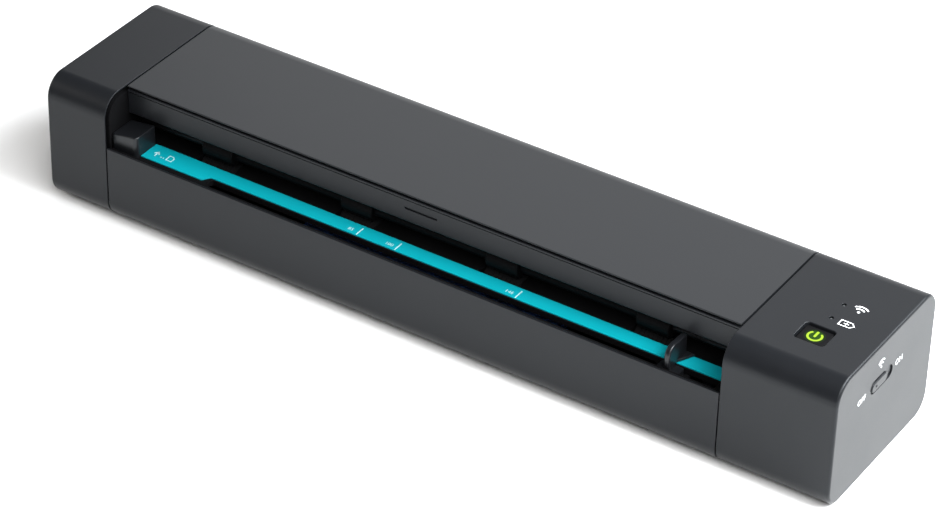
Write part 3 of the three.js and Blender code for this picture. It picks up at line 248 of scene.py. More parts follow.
finish("scan_glass", (0.02, 0.026, 0.03), (0.03, 0.036, 0.04), (0.03, 0.06), patch=30, grain=4, depth=0.001,
       Coat_Weight=1, Coat_Roughness=0.03)
finish("white_ink", (0.66, 0.68, 0.69), (0.74, 0.75, 0.76), (0.45, 0.55), patch=1, grain=0.2)
finish("faint_ink", (0.4, 0.62, 0.64), (0.46, 0.68, 0.7), (0.45, 0.55), patch=1, grain=0.2)
print(len(FINISHES), "finishes")

# %% [markdown]
# ## Floor and lights
# The photograph is a product picture on a white table with no edge. A near-black body shows lights mostly as
# reflections, so each softbox is placed by what should mirror it. Two of them stand high at the right front,
# where the round front edge doesn't mirror them and stays dark. The lid mirrors a bright wall behind. The
# window at the right lights the table beside the end face, which mirrors the table and so turns pale grey. A
# weak warm light from the left keeps the shadow there faint. The softboxes are lamps without a body, and the
# floor is a plain square under the scanner.

# %% Floor and lights
FLOOR_SIDE = 6000
LIGHT_AIM = Vector((0, 0, 20))
DAYLIGHT = (0.93, 0.96, 1, 1)
DAYLIGHT_STRENGTH = 0.1


def softbox(name, azimuth, elevation, distance, width, height, watts, tint=(1, 1, 1)):
    """A rectangular lamp that looks at the scanner. Azimuth 0 is in front of it, and 90 on its right."""
    data = bpy.data.lights.new(name, "AREA")
    data.shape = "RECTANGLE"
    data.size = width * MM
    data.size_y = height * MM
    data.energy = watts
    data.color = tint
    lamp = add_object(name, data)
    turn, rise = radians(azimuth), radians(elevation)
    towards = Vector((sin(turn) * cos(rise), -cos(turn) * cos(rise), sin(rise)))
    lamp.location = (LIGHT_AIM + towards * distance) * MM
    lamp.rotation_mode = "QUATERNION"
    lamp.rotation_quaternion = towards.to_track_quat("Z", "Y")
    return lamp


softboxes = [
    softbox("overhead_softbox", azimuth=60, elevation=62, distance=1200, width=900, height=800, watts=7.5),
    softbox("front_key", azimuth=50, elevation=42, distance=1000, width=700, height=600, watts=8),
    softbox("rear_wall", azimuth=200, elevation=25, distance=1900, width=1500, height=1400, watts=8.9),
    softbox("window_right", azimuth=112, elevation=45, distance=800, width=800, height=420, watts=23,
            tint=(0.95, 0.98, 1)),
    softbox("warm_fill_left", azimuth=290, elevation=22, distance=1000, width=600, height=400, watts=3.2,
            tint=(1, 0.96, 0.9)),
]

world = bpy.data.worlds.new("studio")
world.use_nodes = True
background = world.node_tree.nodes["Background"]
background.inputs["Color"].default_value = DAYLIGHT
background.inputs["Strength"].default_value = DAYLIGHT_STRENGTH
bpy.context.scene.world = world
bpy.context.scene.view_settings.view_transform = "Standard"

paper_white = finish("table_top", (0.83, 0.83, 0.83), (0.87, 0.87, 0.87), (0.6, 0.7), patch=300, grain=2)
half = FLOOR_SIDE * MM / 2
floor_mesh = bpy.data.meshes.new("floor")
floor_mesh.from_pydata([(-half, -half, 0), (half, -half, 0), (half, half, 0), (-half, half, 0)], [],
                       [(0, 1, 2, 3)])
floor_mesh.materials.append(paper_white)
floor = add_object("floor", floor_mesh)
print(len(softboxes), "softboxes over a table of", FLOOR_SIDE * MM, "m")

# %% [markdown]
# ## Outlines
# Most pieces here were made by pushing plastic through one section: the shell is a rectangle with large
# round corners from end to end. So the lesson draws outlines first, as lists of points, with an arc wherever
# the real thing is round. Every rounded rectangle has the same number of points whatever its size, which is
# what lets the next helper skin a surface from one to another. A growing outline is one that can be asked
# for a little wider or narrower, as a soft edge needs it.

# %% Outlines
ARC_STEPS = 14


def arc(centre, radius, start, stop, steps=ARC_STEPS):
    """Points on a circle from one angle to another, in degrees."""
    turns = [radians(start + (stop - start) * step / steps) for step in range(steps + 1)]
    return [(centre[0] + radius * cos(turn), centre[1] + radius * sin(turn)) for turn in turns]


def circle(centre, radius, sides):
    return arc(centre, radius, 0, 360 - 360 / sides, sides - 1)


def centred(middle, size):
    return (middle - size / 2, middle + size / 2)


def wider(span, gap):
    """A span that reaches further at both ends, or less far where the gap is negative."""
    return (span[0] - gap, span[1] + gap)


def rounded(a, b, radii, steps=ARC_STEPS, gap=0):
    """A rectangle with round corners, wider by the gap, from its low left corner anticlockwise."""
    if not isinstance(radii, (tuple, list)):
        radii = [radii] * 4
    low_left, low_right, high_right, high_left = [radius + gap for radius in radii]
    a, b = wider(a, gap), wider(b, gap)
    return (arc((a[0] + low_left, b[0] + low_left), low_left, 180, 270, steps)
            + arc((a[1] - low_right, b[0] + low_right), low_right, 270, 360, steps)
            + arc((a[1] - high_right, b[1] - high_right), high_right, 0, 90, steps)
            + arc((a[0] + high_left, b[1] - high_left), high_left, 90, 180, steps))


def growing(a, b, radii, steps=ARC_STEPS):
    """A rounded rectangle as a function of its gap."""
    return lambda gap: rounded(a, b, radii, steps, gap)


def growing_bar(middle, length, height, steps=ARC_STEPS, flat=0.02):
    """The same with round ends. The flat keeps two corners from meeting in one point."""
    return growing(centred(middle[0], length), centred(middle[1], height), height / 2 - flat, steps)


def at_x(x, outline):
    return [(x, a, b) for a, b in outline]


def at_y(y, outline):
    return [(a, y, b) for a, b in outline]


def at_z(z, outline):
    return [(a, b, z) for a, b in outline]


print(len(rounded((0, 20), (0, 10), 2)), "points in a rounded rectangle")

# %% [markdown]
# ## Skins over rings
# A loft takes rings of points and lays faces between each ring and the next. Closed at both ends it is a
# solid. Joined to its own start it is a ring-shaped body, such as a sleeve with a bore. Rings that step
# inwards on a quarter circle give an edge its radius, which a plain extrusion can't have. The helpers take
# at_x, at_y or at_z to say along which axis the rings are stacked.


# %% Skins over rings
def mesh_piece(name, points, faces):
    """A new object from points in millimetres, with its faces turned outwards."""
    mesh = bpy.data.meshes.new(name)
    mesh.from_pydata([Vector(point) * MM for point in points], [], faces)
    solid = bmesh.new()
    solid.from_mesh(mesh)
    bmesh.ops.recalc_face_normals(solid, faces=solid.faces)
    solid.to_mesh(mesh)
    solid.free()
    return add_object(name, mesh)


def skin_faces(rings, count, joined):
    faces = []
    for ring in range(rings if joined else rings - 1):
        here = ring * count
        there = (ring + 1) % rings * count
        for i in range(count):
            j = (i + 1) % count
            faces.append((here + i, here + j, there + j, there + i))
    return faces


def loft(name, rings, joined=False):
    """A closed body over rings of equal length."""
    count = len(rings[0])
    faces = skin_faces(len(rings), count, joined)
    if not joined:
        faces.append(tuple(range(count)))
        faces.append(tuple(range((len(rings) - 1) * count, len(rings) * count)))
    return mesh_piece(name, [point for ring in rings for point in ring], faces)


def edge_steps(radius, steps=5):
    """A round edge from the face to the side, as (how far in from the side, how far down from the face)."""
    turns = [pi / 2 * step / steps for step in range(steps + 1)]
    return [(radius * (1 - sin(turn)), radius * (1 - cos(turn))) for turn in turns]


def edge_rings(at, face, inwards, outline, radius):
    """Rings from a flat face over its round edge to the side."""
    return [at(face + inwards * depth, outline(-inset)) for inset, depth in edge_steps(radius)]


def prism(name, at, outline, span):
    """One outline pushed straight from one place to another."""
    return loft(name, [at(place, outline) for place in span])


# %% [markdown]
# ## Cuts, joins and soft edges
# Holes and pockets are cut with Blender's exact Boolean modifier, and each change is applied at once, so the
# piece that comes out is a plain mesh again. Real mouldings have no knife edges: a Bevel modifier that looks
# only at sharp angles rounds them all by a tenth of a millimetre or two. A Weighted Normal modifier then
# keeps the large faces flat in shading, and lets only the small round ones turn.


# %% Cuts, joins and soft edges
def settle(piece):
    """Applies the modifiers of a piece to its mesh."""
    graph = bpy.context.evaluated_depsgraph_get()
    mesh = bpy.data.meshes.new_from_object(piece.evaluated_get(graph))
    mesh.name = piece.name
    piece.modifiers.clear()
    piece.data = mesh
    return piece


def combine(piece, operation, tools):
    for tool in tools:
        change = piece.modifiers.new(tool.name, "BOOLEAN")
        change.operation = operation
        change.solver = "EXACT"
        change.object = tool
    settle(piece)
    for tool in tools:
        bpy.data.objects.remove(tool)
    return piece


def carve(piece, tools):
    return combine(piece, "DIFFERENCE", tools)


def weld(piece, additions):
    return combine(piece, "UNION", additions)


def soften(piece, width, segments=3):
    """Rounds every sharp edge of a piece."""
    bevel = piece.modifiers.new("soft_edges", "BEVEL")
    bevel.width = width * MM
    bevel.segments = segments
    bevel.limit_method = "ANGLE"
    bevel.angle_limit = radians(40)
    return settle(piece)


def dress(piece, slot, body, *nodes, crease=35, look=None):
    """Gives a piece its finish and its shading, and puts it on the body that carries it."""
    piece.data.materials.clear()
    piece.data.materials.append(FINISHES[look or slot])
    piece.data.shade_smooth()
    piece.data.set_sharp_from_angle(angle=radians(crease))
    shading = piece.modifiers.new("even_shading", "WEIGHTED_NORMAL")
    shading.keep_sharp = True
    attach(piece, body)
    if nodes:
        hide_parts(*nodes)
    print(piece.name, len(piece.data.polygons), "faces")
    return piece


# %% [markdown]
# ## Turned pieces
# Rollers, feet, posts and pegs are round about one line. Their profile is a list of places along that line,
# each with a radius, and every place becomes a ring. The same helper makes a body whose ends are closed, and
# a sleeve whose profile returns to its start and so leaves a bore. A rod has one radius from end to end.

# %% Turned pieces
ROUND_SIDES = 48


def turned(name, at, profile, centre, bore=False, sides=ROUND_SIDES):
    """A round piece about a straight line. The profile is a list of (place on the line, radius)."""
    rings = [at(place, circle(centre, radius, sides)) for place, radius in profile]
    return loft(name, rings, joined=bore)


def rod(name, at, span, radius, centre, sides=ROUND_SIDES):
    return turned(name, at, [(place, radius) for place in span], centre, sides=sides)


# %% [markdown]
# ## The shell's section
# Caps, housing and lid share one section, so that they line up along the whole bar. The outside is drawn a
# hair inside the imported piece, by the height of printed ink: then the ink can stand on the surface and the
# object still keeps its size.

# %% The shell's section
INK = 0.02
WALL = 1.8
END_WALL = 2
TOP_RADIUS = 8
BOTTOM_RADIUS = 7.3
EDGE_RADIUS = 1
RIM_RADIUS = 0.18
RIM_LAND = 0.45
RIM_CHAMFER = 1.2
SEAM_GAP = 0.4
SKIN_FRONT, SKIN_REAR = FRONT + INK, REAR - INK
SKIN_UNDER, SKIN_TOP = UNDER + INK, TOP - INK
SKIN_LEFT, SKIN_RIGHT = LEFT_END + INK, RIGHT_END - INK
shell_outline = growing((SKIN_FRONT, SKIN_REAR), (SKIN_UNDER, SKIN_TOP),
                        (BOTTOM_RADIUS, BOTTOM_RADIUS, TOP_RADIUS, TOP_RADIUS))
print("section", round(SKIN_REAR - SKIN_FRONT, 2), "by", round(SKIN_TOP - SKIN_UNDER, 2), "mm")

# %% [markdown]
# ## End caps
# Each cap is a box with one open side. The rings start at the flat outer face, turn over the edge on a
# radius of 1 mm and run to the rim. There they turn over a very small radius, cross a narrow flat, slope
# inwards and go back inside to the end wall. The small radius catches the light as the thin bright line
# beside the mouth in the photograph, and the slope behind it stays dark. The wells for the feet are cut with
# tools that run on past the surface, so that no face of a tool lies in a face of the cap.


# %% End caps
def cap_shell(name, outer_x, rim_x):
    inwards = 1 if rim_x > outer_x else -1
    rings = edge_rings(at_x, outer_x, inwards, shell_outline, EDGE_RADIUS)
    rings += edge_rings(at_x, rim_x, -inwards, shell_outline, RIM_RADIUS)[::-1]
    inside = shell_outline(-WALL)
    rings += [at_x(rim_x, shell_outline(-RIM_LAND)), at_x(rim_x - inwards * RIM_CHAMFER, inside),
              at_x(outer_x + inwards * END_WALL, inside)]
    return loft(name, rings)


BOSS_RADIUS = 3
BOSS_LENGTH = 9
BOSS_INSET = 4.2
BOSS_FROM_FRONT = 20.3
BOSS_FROM_REAR = 14.3
PEG_RADIUS = 1
PEG_CHAMFER = 0.2
FRAME_THICKNESS = 2.4
boss_places = [
    (FRONT + BOSS_FROM_FRONT, TOP - BOSS_INSET),
    (FRONT + BOSS_FROM_FRONT, UNDER + BOSS_INSET),
    (REAR - BOSS_FROM_REAR, TOP - BOSS_INSET),
]


def cap_bosses(seam_x, outwards):
    """Bosses that hold the side frame, each with a peg."""
    face = seam_x + outwards * FRAME_THICKNESS
    root = face + outwards * BOSS_LENGTH
    profile = [(seam_x, PEG_RADIUS - PEG_CHAMFER), (seam_x + outwards * PEG_CHAMFER, PEG_RADIUS),
               (face, PEG_RADIUS), (face, BOSS_RADIUS), (root, BOSS_RADIUS)]
    return [turned("boss", at_x, profile, centre, sides=24) for centre in boss_places]


OVERRUN = 1
MOUTH_SOFTNESS = 0.3
FOOT_WELL_RADIUS = 5.3
foot_nodes = {side: [f"{side}_{end}_foot" for end in ("front", "rear")] for side in ("left", "right")}


def foot_wells(side):
    """Round pockets for the rubber feet, with a softened mouth."""
    mouth = FOOT_WELL_RADIUS + MOUTH_SOFTNESS
    wells = []
    for node in foot_nodes[side]:
        profile = [(box_mm(node)[1].z, FOOT_WELL_RADIUS), (SKIN_UNDER + MOUTH_SOFTNESS, FOOT_WELL_RADIUS),
                   (SKIN_UNDER, mouth), (SKIN_UNDER - OVERRUN, mouth)]
        wells.append(turned("foot_well", at_z, profile, middle_xy(node)))
    return wells


left_cap = cap_shell("left_cap_shell", SKIN_LEFT, LEFT_SEAM - SEAM_GAP)
weld(left_cap, cap_bosses(LEFT_SEAM, -1))
carve(left_cap, foot_wells("left"))
dress(left_cap, "shell", "base", "left_end_cap")

# %% [markdown]
# ## Cuts in the right cap
# The right cap has a square well for the power button, two pinholes for status lights, a long slot for the
# slide switch and two windows at the rear. Each cutting tool widens on a quarter circle where it leaves the
# surface, so the hole gets a rounded lip in the same cut, as a mould would give it. Behind the switch's slot
# a pocket thins the wall from inside, so that the switch's plate can lie close under the face.


# %% Cuts in the right cap
def flared(name, at, outline, depth, surface, lip):
    """A cutting tool from depth out through the surface, wider at the surface by the lip's radius."""
    outwards = 1 if surface > depth else -1
    rings = [at(depth, outline(0))]
    rings += [at(surface - outwards * level, outline(gap)) for level, gap in edge_steps(lip, 4)]
    rings.append(at(surface + outwards * OVERRUN, outline(lip)))
    return loft(name, rings)


FIT = 0.3
BUTTON_FLANGE = 1
BUTTON_CORNER = 1
BUTTON_LIP = 0.35
flange_x, flange_y, button_z = spans_of("power_button")
button_x = wider(flange_x, -BUTTON_FLANGE)
button_y = wider(flange_y, -BUTTON_FLANGE)
button_well = growing(wider(button_x, FIT), wider(button_y, FIT), BUTTON_CORNER + FIT)

LIGHT_RADIUS = 0.6
LIGHT_PLAY = 0.15
LIGHT_LIP = 0.15
lights_x, lights_y, lights_z = spans_of("status_light_guide")
light_x = middle_of(lights_x)
light_places = wider(lights_y, -LIGHT_RADIUS)


def light_hole(y):
    return lambda gap: circle((light_x, y), LIGHT_RADIUS + LIGHT_PLAY + gap, 24)


SLOT_LENGTH = 14.2
SLOT_HEIGHT = 4.8
SLOT_LIP = 0.12
knob_x, knob_y, knob_z = spans_of("mode_switch_knob")
slot_y = box_mm("mode_switch_body")[0].y + SLOT_LENGTH / 2
slot_z = middle_of(knob_z)
switch_slot = growing_bar((slot_y, slot_z), SLOT_LENGTH, SLOT_HEIGHT)

SWITCH_RECESS = 0.4
POCKET_CORNER = 0.5
through_top = TOP - WALL - OVERRUN
through_end = RIGHT_END - END_WALL - OVERRUN
through_rear = REAR - 2 * WALL
pocket_length = 2 * (slot_y - knob_y[0] + FIT)
pocket_outline = rounded(centred(slot_y, pocket_length), wider(knob_z, FIT), POCKET_CORNER)
switch_pocket = prism("switch_pocket", at_x, pocket_outline, (through_end, SKIN_RIGHT - SWITCH_RECESS))

WINDOW_LIP = 0.3
right_cap = cap_shell("right_cap_shell", SKIN_RIGHT, RIGHT_SEAM + SEAM_GAP)
weld(right_cap, cap_bosses(RIGHT_SEAM, 1))
cuts = foot_wells("right") + [switch_pocket]
cuts.append(flared("button_well", at_z, button_well, through_top, SKIN_TOP, BUTTON_LIP))
cuts += [flared("light_hole", at_z, light_hole(y), through_top, SKIN_TOP, LIGHT_LIP) for y in light_places]
cuts.append(flared("switch_slot", at_x, switch_slot, through_end, SKIN_RIGHT, SLOT_LIP))
for node, corner in (("usb_socket", 1), ("card_socket", 0.5)):
    x, y, z = spans_of(node)
    window = growing(wider(x, FIT), wider(z, FIT), corner, 6)
    cuts.append(flared("window", at_y, window, through_rear, SKIN_REAR, WINDOW_LIP))
carve(right_cap, cuts)
dress(right_cap, "shell", "base", "right_end_cap")

# %% [markdown]
# ## Lower housing
# The housing is a trough, open at both ends and at the top. Its front wall ends in a thin grey lip with the
# black paper table just behind it, and its rear wall stops lower, to leave the exit slot. One closed outline
# is pushed along the bar, every sharp edge is softened, and what is only local is welded on or cut after
# that: posts under the table, screw wells, and the battery hatch.

# %% Lower housing
LIP_SKIN = 0.8
TABLE_THICKNESS = 2
SEAM_SOFTNESS = 0.25
table_low, table_high = box_mm("feed_table")
paper_z = box_mm("lower_white_backing")[1].z
table_under = paper_z - TABLE_THICKNESS
rear_wall_top = table_low.z
front_corner = (SKIN_FRONT + BOTTOM_RADIUS, SKIN_UNDER + BOTTOM_RADIUS)
rear_corner = (SKIN_REAR - BOTTOM_RADIUS, SKIN_UNDER + BOTTOM_RADIUS)
inner_radius = BOTTOM_RADIUS - WALL

trough_outline = (
    [(SKIN_FRONT, housing_high.z)]
    + arc(front_corner, BOTTOM_RADIUS, 180, 270)
    + arc(rear_corner, BOTTOM_RADIUS, 270, 360)
    + [(SKIN_REAR, rear_wall_top), (SKIN_REAR - WALL, rear_wall_top)]
    + arc(rear_corner, inner_radius, 360, 270)
    + arc(front_corner, inner_radius, 270, 180)
    + [(SKIN_FRONT + WALL, table_under), (SKIN_FRONT + LIP_SKIN, table_under),
       (SKIN_FRONT + LIP_SKIN, housing_high.z)]
)
housing = prism("lower_housing_shell", at_x, trough_outline, (LEFT_SEAM, RIGHT_SEAM))
soften(housing, SEAM_SOFTNESS)
print("paper runs", round(paper_z, 2), "mm up, in a trough with", len(trough_outline), "points round it")

# %% [markdown]
# ## Posts, screw wells and battery hatch
# Four long screws come up through the floor into posts that carry the paper table. The battery sits in
# the trough above a hatch, whose cover lies flush in a shallow ledge. The places are read from the packed
# screws, battery and cover.

# %% Posts, screw wells and battery hatch
POST_RADIUS = 2.2
POST_SIDES = 32
SCREW_HEAD_RADIUS = 2.6
SCREW_HOLE_RADIUS = 1.05
SCREW_PLAY = 0.15
SCREW_WELL = 0.9
OPENING_CORNER = 0.6
HATCH_PLATE = 1
housing_screws = [name for name in frame["nodes"] if name.endswith("_housing_screw")]


def well_profile(tip):
    """A screw's own hollow: a soft mouth, the well of the head, and the hole of the shank."""
    well = SCREW_HEAD_RADIUS + SCREW_PLAY
    mouth = well + MOUTH_SOFTNESS
    well_end = SKIN_UNDER + SCREW_WELL
    return [(SKIN_UNDER - OVERRUN, mouth), (SKIN_UNDER, mouth), (SKIN_UNDER + MOUTH_SOFTNESS, well),
            (well_end, well), (well_end, SCREW_HOLE_RADIUS), (tip, SCREW_HOLE_RADIUS)]


def opening(node, span):
    """A round-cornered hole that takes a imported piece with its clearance."""
    x, y = spans_of(node)[:2]
    return prism("opening", at_z, rounded(wider(x, FIT), wider(y, FIT), OPENING_CORNER, 5), span)


posts = []
wells = []
for node in housing_screws:
    centre = middle_xy(node)
    tip = box_mm(node)[1].z + FIT
    posts.append(rod("post", at_z, (UNDER + WALL / 2, table_under), POST_RADIUS, centre, sides=POST_SIDES))
    wells.append(turned("screw_well", at_z, well_profile(tip), centre, sides=POST_SIDES))
weld(housing, posts)

hatch_ledge = box_mm("battery_cover")[0].z + HATCH_PLATE
wells.append(opening("battery_cover", (UNDER - OVERRUN, hatch_ledge)))
wells.append(opening("battery_pack", (UNDER - OVERRUN, UNDER + WALL + OVERRUN)))
carve(housing, wells)
dress(housing, "shell", "base", "lower_housing")

# %% [markdown]
# ## The lid
# The lid is the same section again, cut away in front: a flat top, the large rear bend and a short skirt
# above the exit. Its front edge is a thin lip over a dark groove, which makes the lid look like a plate laid
# on the band below it. So the outline has that lip and groove in it. Three bosses under the lid reach down
# to the upper frame.

# %% The lid
LID_LIP = 0.5
LID_SOFTNESS = 0.1
GROOVE_DEPTH = 1.15
cover_low, cover_high = box_mm("top_cover")
lid_front = cover_low.y
lip_middle = (lid_front + LID_LIP / 2, SKIN_TOP - LID_LIP / 2)
lid_corner = (SKIN_REAR - TOP_RADIUS, SKIN_TOP - TOP_RADIUS)
lid_outline = (
    [(lid_front + GROOVE_DEPTH, SKIN_TOP - WALL), (lid_front + GROOVE_DEPTH, SKIN_TOP - LID_LIP)]
    + arc(lip_middle, LID_LIP / 2, 270, 90, 8)
    + arc(lid_corner, TOP_RADIUS, 90, 0)
    + [(SKIN_REAR, cover_low.z), (SKIN_REAR - WALL, cover_low.z)]
    + arc(lid_corner, TOP_RADIUS - WALL, 0, 90)
)
lid = prism("lid_shell", at_x, lid_outline, (cover_low.x, cover_high.x))
soften(lid, LID_SOFTNESS, segments=2)

COVER_BOSS_RADIUS = 2.2
COVER_BOSS_REACH = 70
COVER_BOSS_SET_BACK = 5.2
COVER_BOSS_RISE = 8.95
frame_low = box_mm("upper_frame")[0]
roller_span = spans_of("feed_roller_sleeve")[0]
paper_middle = middle_of(roller_span)
boss_y = frame_low.y + COVER_BOSS_SET_BACK
boss_foot = frame_low.z + COVER_BOSS_RISE
lid_bosses = [
    rod("lid_boss", at_z, (boss_foot, TOP - WALL / 2), COVER_BOSS_RADIUS, (x, boss_y))
    for x in (paper_middle - COVER_BOSS_REACH, paper_middle, paper_middle + COVER_BOSS_REACH)
]
print("lid boss from", round(boss_foot, 2), "at y", round(boss_y, 2))

# %% [markdown]
# ## The band across the front
# Below the lid's edge runs an upright band. It starts with a narrow ledge that catches the light as a fine
# line, then a hairline groove, then the plain face, which rounds under into the paper mouth. In its middle a
# short groove gives a fingernail something to lift.

# %% The band across the front
band_low, band_high = box_mm("front_band")
LEDGE_PROUD = 0.13
LEDGE_RISE = 0.35
LEDGE_RADIUS = 0.25
LEDGE_OVERLAP = 0.12
HAIRLINE = (0.45, 0.75)
HAIRLINE_DEPTH = 0.35
BAND_FOOT_RADIUS = 0.5
ledge_face = band_low.y - LEDGE_PROUD
ledge_top = band_high.z + LEDGE_RISE
ledge_back = lid_front + GROOVE_DEPTH - LEDGE_OVERLAP
band_under_lid = band_high.z - 2 * INK
band_outline = (
    [(band_high.y, band_low.z)]
    + arc((band_low.y + BAND_FOOT_RADIUS, band_low.z + BAND_FOOT_RADIUS), BAND_FOOT_RADIUS, 270, 180, 6)
    + [(band_low.y, band_high.z - HAIRLINE[1]), (band_low.y + HAIRLINE_DEPTH, band_high.z - HAIRLINE[1]),
       (band_low.y + HAIRLINE_DEPTH, band_high.z - HAIRLINE[0]), (ledge_face, band_high.z - HAIRLINE[0])]
    + arc((ledge_face + LEDGE_RADIUS, ledge_top - LEDGE_RADIUS), LEDGE_RADIUS, 180, 90, 5)
    + [(ledge_back, ledge_top), (ledge_back, band_under_lid), (band_high.y, band_under_lid)]
)
band = prism("lid_front_band", at_x, band_outline, (band_low.x, band_high.x))
soften(band, LID_SOFTNESS, segments=2)

GRIP_LENGTH = 12.5
GRIP_HEIGHT = 0.8
GRIP_DEPTH = 0.5
GRIP_DROP = 3.8
GRIP_LIP = 0.12
grip_middle = (middle_of((LEFT_SEAM, RIGHT_SEAM)), band_high.z - GRIP_DROP)
grip = growing_bar(grip_middle, GRIP_LENGTH, GRIP_HEIGHT, steps=6)
carve(band, [flared("grip_groove", at_y, grip, band_low.y + GRIP_DEPTH, band_low.y, GRIP_LIP)])
dress(band, "shell", "upper_unit", "front_band")
weld(lid, lid_bosses)
dress(lid, "shell", "upper_unit", "top_cover", look="lid_shell")

# %% [markdown]
# ## The paper table
# Under the lid lies the bed that the paper slides on: black, with a raised flange behind the housing's lip
# and a ramp down to the exit. It is a strip of section pushed along the bar, and everything that has to
# reach the paper gets a window in it. Each window is a little wider at the top, so no sheet can catch.

# %% The paper table
TABLE_FLANGE = 1.1
RAMP_LENGTH = 4.2
RAMP_FOOT_INSET = 1.3
EXIT_LIP = 0.8
TABLE_SOFTNESS = 0.15
ramp_foot = table_high.y - RAMP_FOOT_INSET
ramp_top = ramp_foot - RAMP_LENGTH
table_outline = [
    (table_low.y, table_under),
    (ramp_top - TABLE_THICKNESS / 2, table_under),
    (ramp_foot - TABLE_THICKNESS / 2, rear_wall_top),
    (table_high.y, rear_wall_top),
    (table_high.y, rear_wall_top + EXIT_LIP),
    (ramp_foot, rear_wall_top + EXIT_LIP),
    (ramp_top, paper_z),
    (table_low.y + TABLE_FLANGE, paper_z),
    (table_low.y + TABLE_FLANGE, table_high.z),
    (table_low.y, table_high.z),
]
table = prism("paper_table", at_x, table_outline, (LEFT_SEAM, RIGHT_SEAM))
soften(table, TABLE_SOFTNESS, segments=2)

ROLLER_WIDTH = 14
ROLLER_RADIUS = 4.5
ROLLERS = 4
roller_pitch = (roller_span[1] - roller_span[0] - ROLLER_WIDTH) / (ROLLERS - 1)
roller_places = [roller_span[0] + ROLLER_WIDTH / 2 + i * roller_pitch for i in range(ROLLERS)]


def axis_of(node):
    """The (y, z) of a piece that turns about a line along X."""
    return tuple(middle_of(span) for span in spans_of(node)[1:])


WINDOW_GAP = 0.5
TABLE_LIP = 0.2
BACKING_RECESS = 0.8
SHAFT_WAY_RADIUS = 2.8
EYE_RADIUS = 0.8
GUIDE_SLOT_LEFT = 38.3
GUIDE_SLOT_RIGHT = 3.3
CARRIAGE_OVERLAP = 0.4


def table_window(x, y, corner=0.5, depth=None):
    """A window in the table, or a recess where a depth is given."""
    bottom = table_low.z - OVERRUN if depth is None else paper_z - depth
    return flared("window", at_z, growing(x, y, corner, 5), bottom, paper_z, TABLE_LIP)


reach = 2 * (ROLLER_RADIUS + WINDOW_GAP)
windows = []
for shaft in ("feed_shaft", "exit_shaft"):
    axis = axis_of(shaft)
    windows += [table_window(centred(x, ROLLER_WIDTH + 2 * WINDOW_GAP), centred(axis[0], reach))
                for x in roller_places]
    windows.append(rod("shaft_way", at_x, wider((LEFT_SEAM, RIGHT_SEAM), OVERRUN), SHAFT_WAY_RADIUS, axis))
sensor_x, sensor_y = spans_of("lower_image_sensor")[:2]
windows.append(table_window(wider(sensor_x, FIT), wider(sensor_y, FIT)))
backing_x, backing_y = spans_of("lower_white_backing")[:2]
windows.append(table_window(wider(backing_x, FIT), wider(backing_y, FIT), depth=BACKING_RECESS))
carriage_y = spans_of("guide_carriage")[1]
guide_slot_x = (LEFT_SEAM + GUIDE_SLOT_LEFT, RIGHT_SEAM - GUIDE_SLOT_RIGHT)
windows.append(table_window(guide_slot_x, wider(carriage_y, -CARRIAGE_OVERLAP), corner=1))
eye_span = (table_low.z - OVERRUN, paper_z + OVERRUN)
windows.append(rod("eye", at_z, eye_span, EYE_RADIUS, middle_xy("paper_detector"), sides=24))
carve(table, windows)
# The table's black plastic carries painted shade, so that the mouth reads black.
dress(table, "black_plastic", "base", "feed_table")

# %% [markdown]
# ## The size strip
# A turquoise strip lies along the mouth. Beside the fixed guide it is wide, and with a soft step it
# gives way to the slot of the sliding guide. The step is half a wave of a cosine, which starts and ends
# level. The strip is thin, but it is a plate and not paint: its edge shows where it meets the slot.

# %% The size strip
strip_low, strip_high = box_mm("size_strip")
STRIP_NARROW = 5.8
STEP_END = 27.25
STEP_LENGTH = 2.8
STEP_POINTS = 12
STRIP_SOFTNESS = 0.06
narrow_front = strip_high.y - STRIP_NARROW
strip_outline = [(strip_low.x, strip_high.y), (strip_low.x, strip_low.y)]
for step in range(STEP_POINTS + 1):
    share = step / STEP_POINTS
    rise = (1 - cos(pi * share)) / 2
    strip_outline.append((strip_low.x + STEP_END - (1 - share) * STEP_LENGTH,
                          strip_low.y + rise * (narrow_front - strip_low.y)))
strip_outline += [(strip_high.x, narrow_front), (strip_high.x, strip_high.y)]
strip = prism("paper_size_strip", at_z, strip_outline, (strip_low.z, strip_high.z))
soften(strip, STRIP_SOFTNESS, segments=2)
dress(strip, "size_strip", "base", "size_strip")

# %% [markdown]
# ## Pen strokes
# The marks on a machine are printed with a pen of even width. A stroke is a row of small cross-sections,
# each with a left and a right side, and at its ends the width closes on a half circle. With a surface
# given as a function, the same stroke can lie on the strip, on the cap or on the end face. It stands
# proud by the height of the ink, so it is real geometry and not a picture.


# %% Pen strokes
def side_of(a, b):
    """The unit vector to the left of the way from a to b."""
    way = Vector(b) - Vector(a)
    return Vector((-way.y, way.x)).normalized()


def stroke_pairs(points, width, closed=False):
    """The left and right points of a stroke. An open stroke gets round ends."""
    points = [Vector(point) for point in points]
    count = len(points)
    pairs = []
    for i, point in enumerate(points):
        before = side_of(points[i - 1], point) if i or closed else side_of(point, points[1])
        after = side_of(point, points[(i + 1) % count]) if i + 1 < count or closed else before
        side = (before + after).normalized()
        reach = width / 2 / max(side.dot(before), 0.5)
        pairs.append((point + side * reach, point - side * reach))
    if closed:
        return pairs
    return round_end(points[0], points[1], width)[::-1] + pairs + [
        (right_point, left_point) for left_point, right_point in round_end(points[-1], points[-2], width)]


def round_end(end, inner, width, steps=4):
    """Pairs that narrow to a half circle beyond the end of a stroke, from the end outwards."""
    outwards = (end - inner).normalized()
    side = Vector((outwards.y, -outwards.x))
    turns = [radians(80) * (step + 1) / steps for step in range(steps)]
    return [(end + outwards * width / 2 * sin(turn) + side * width / 2 * cos(turn),
             end + outwards * width / 2 * sin(turn) - side * width / 2 * cos(turn)) for turn in turns]


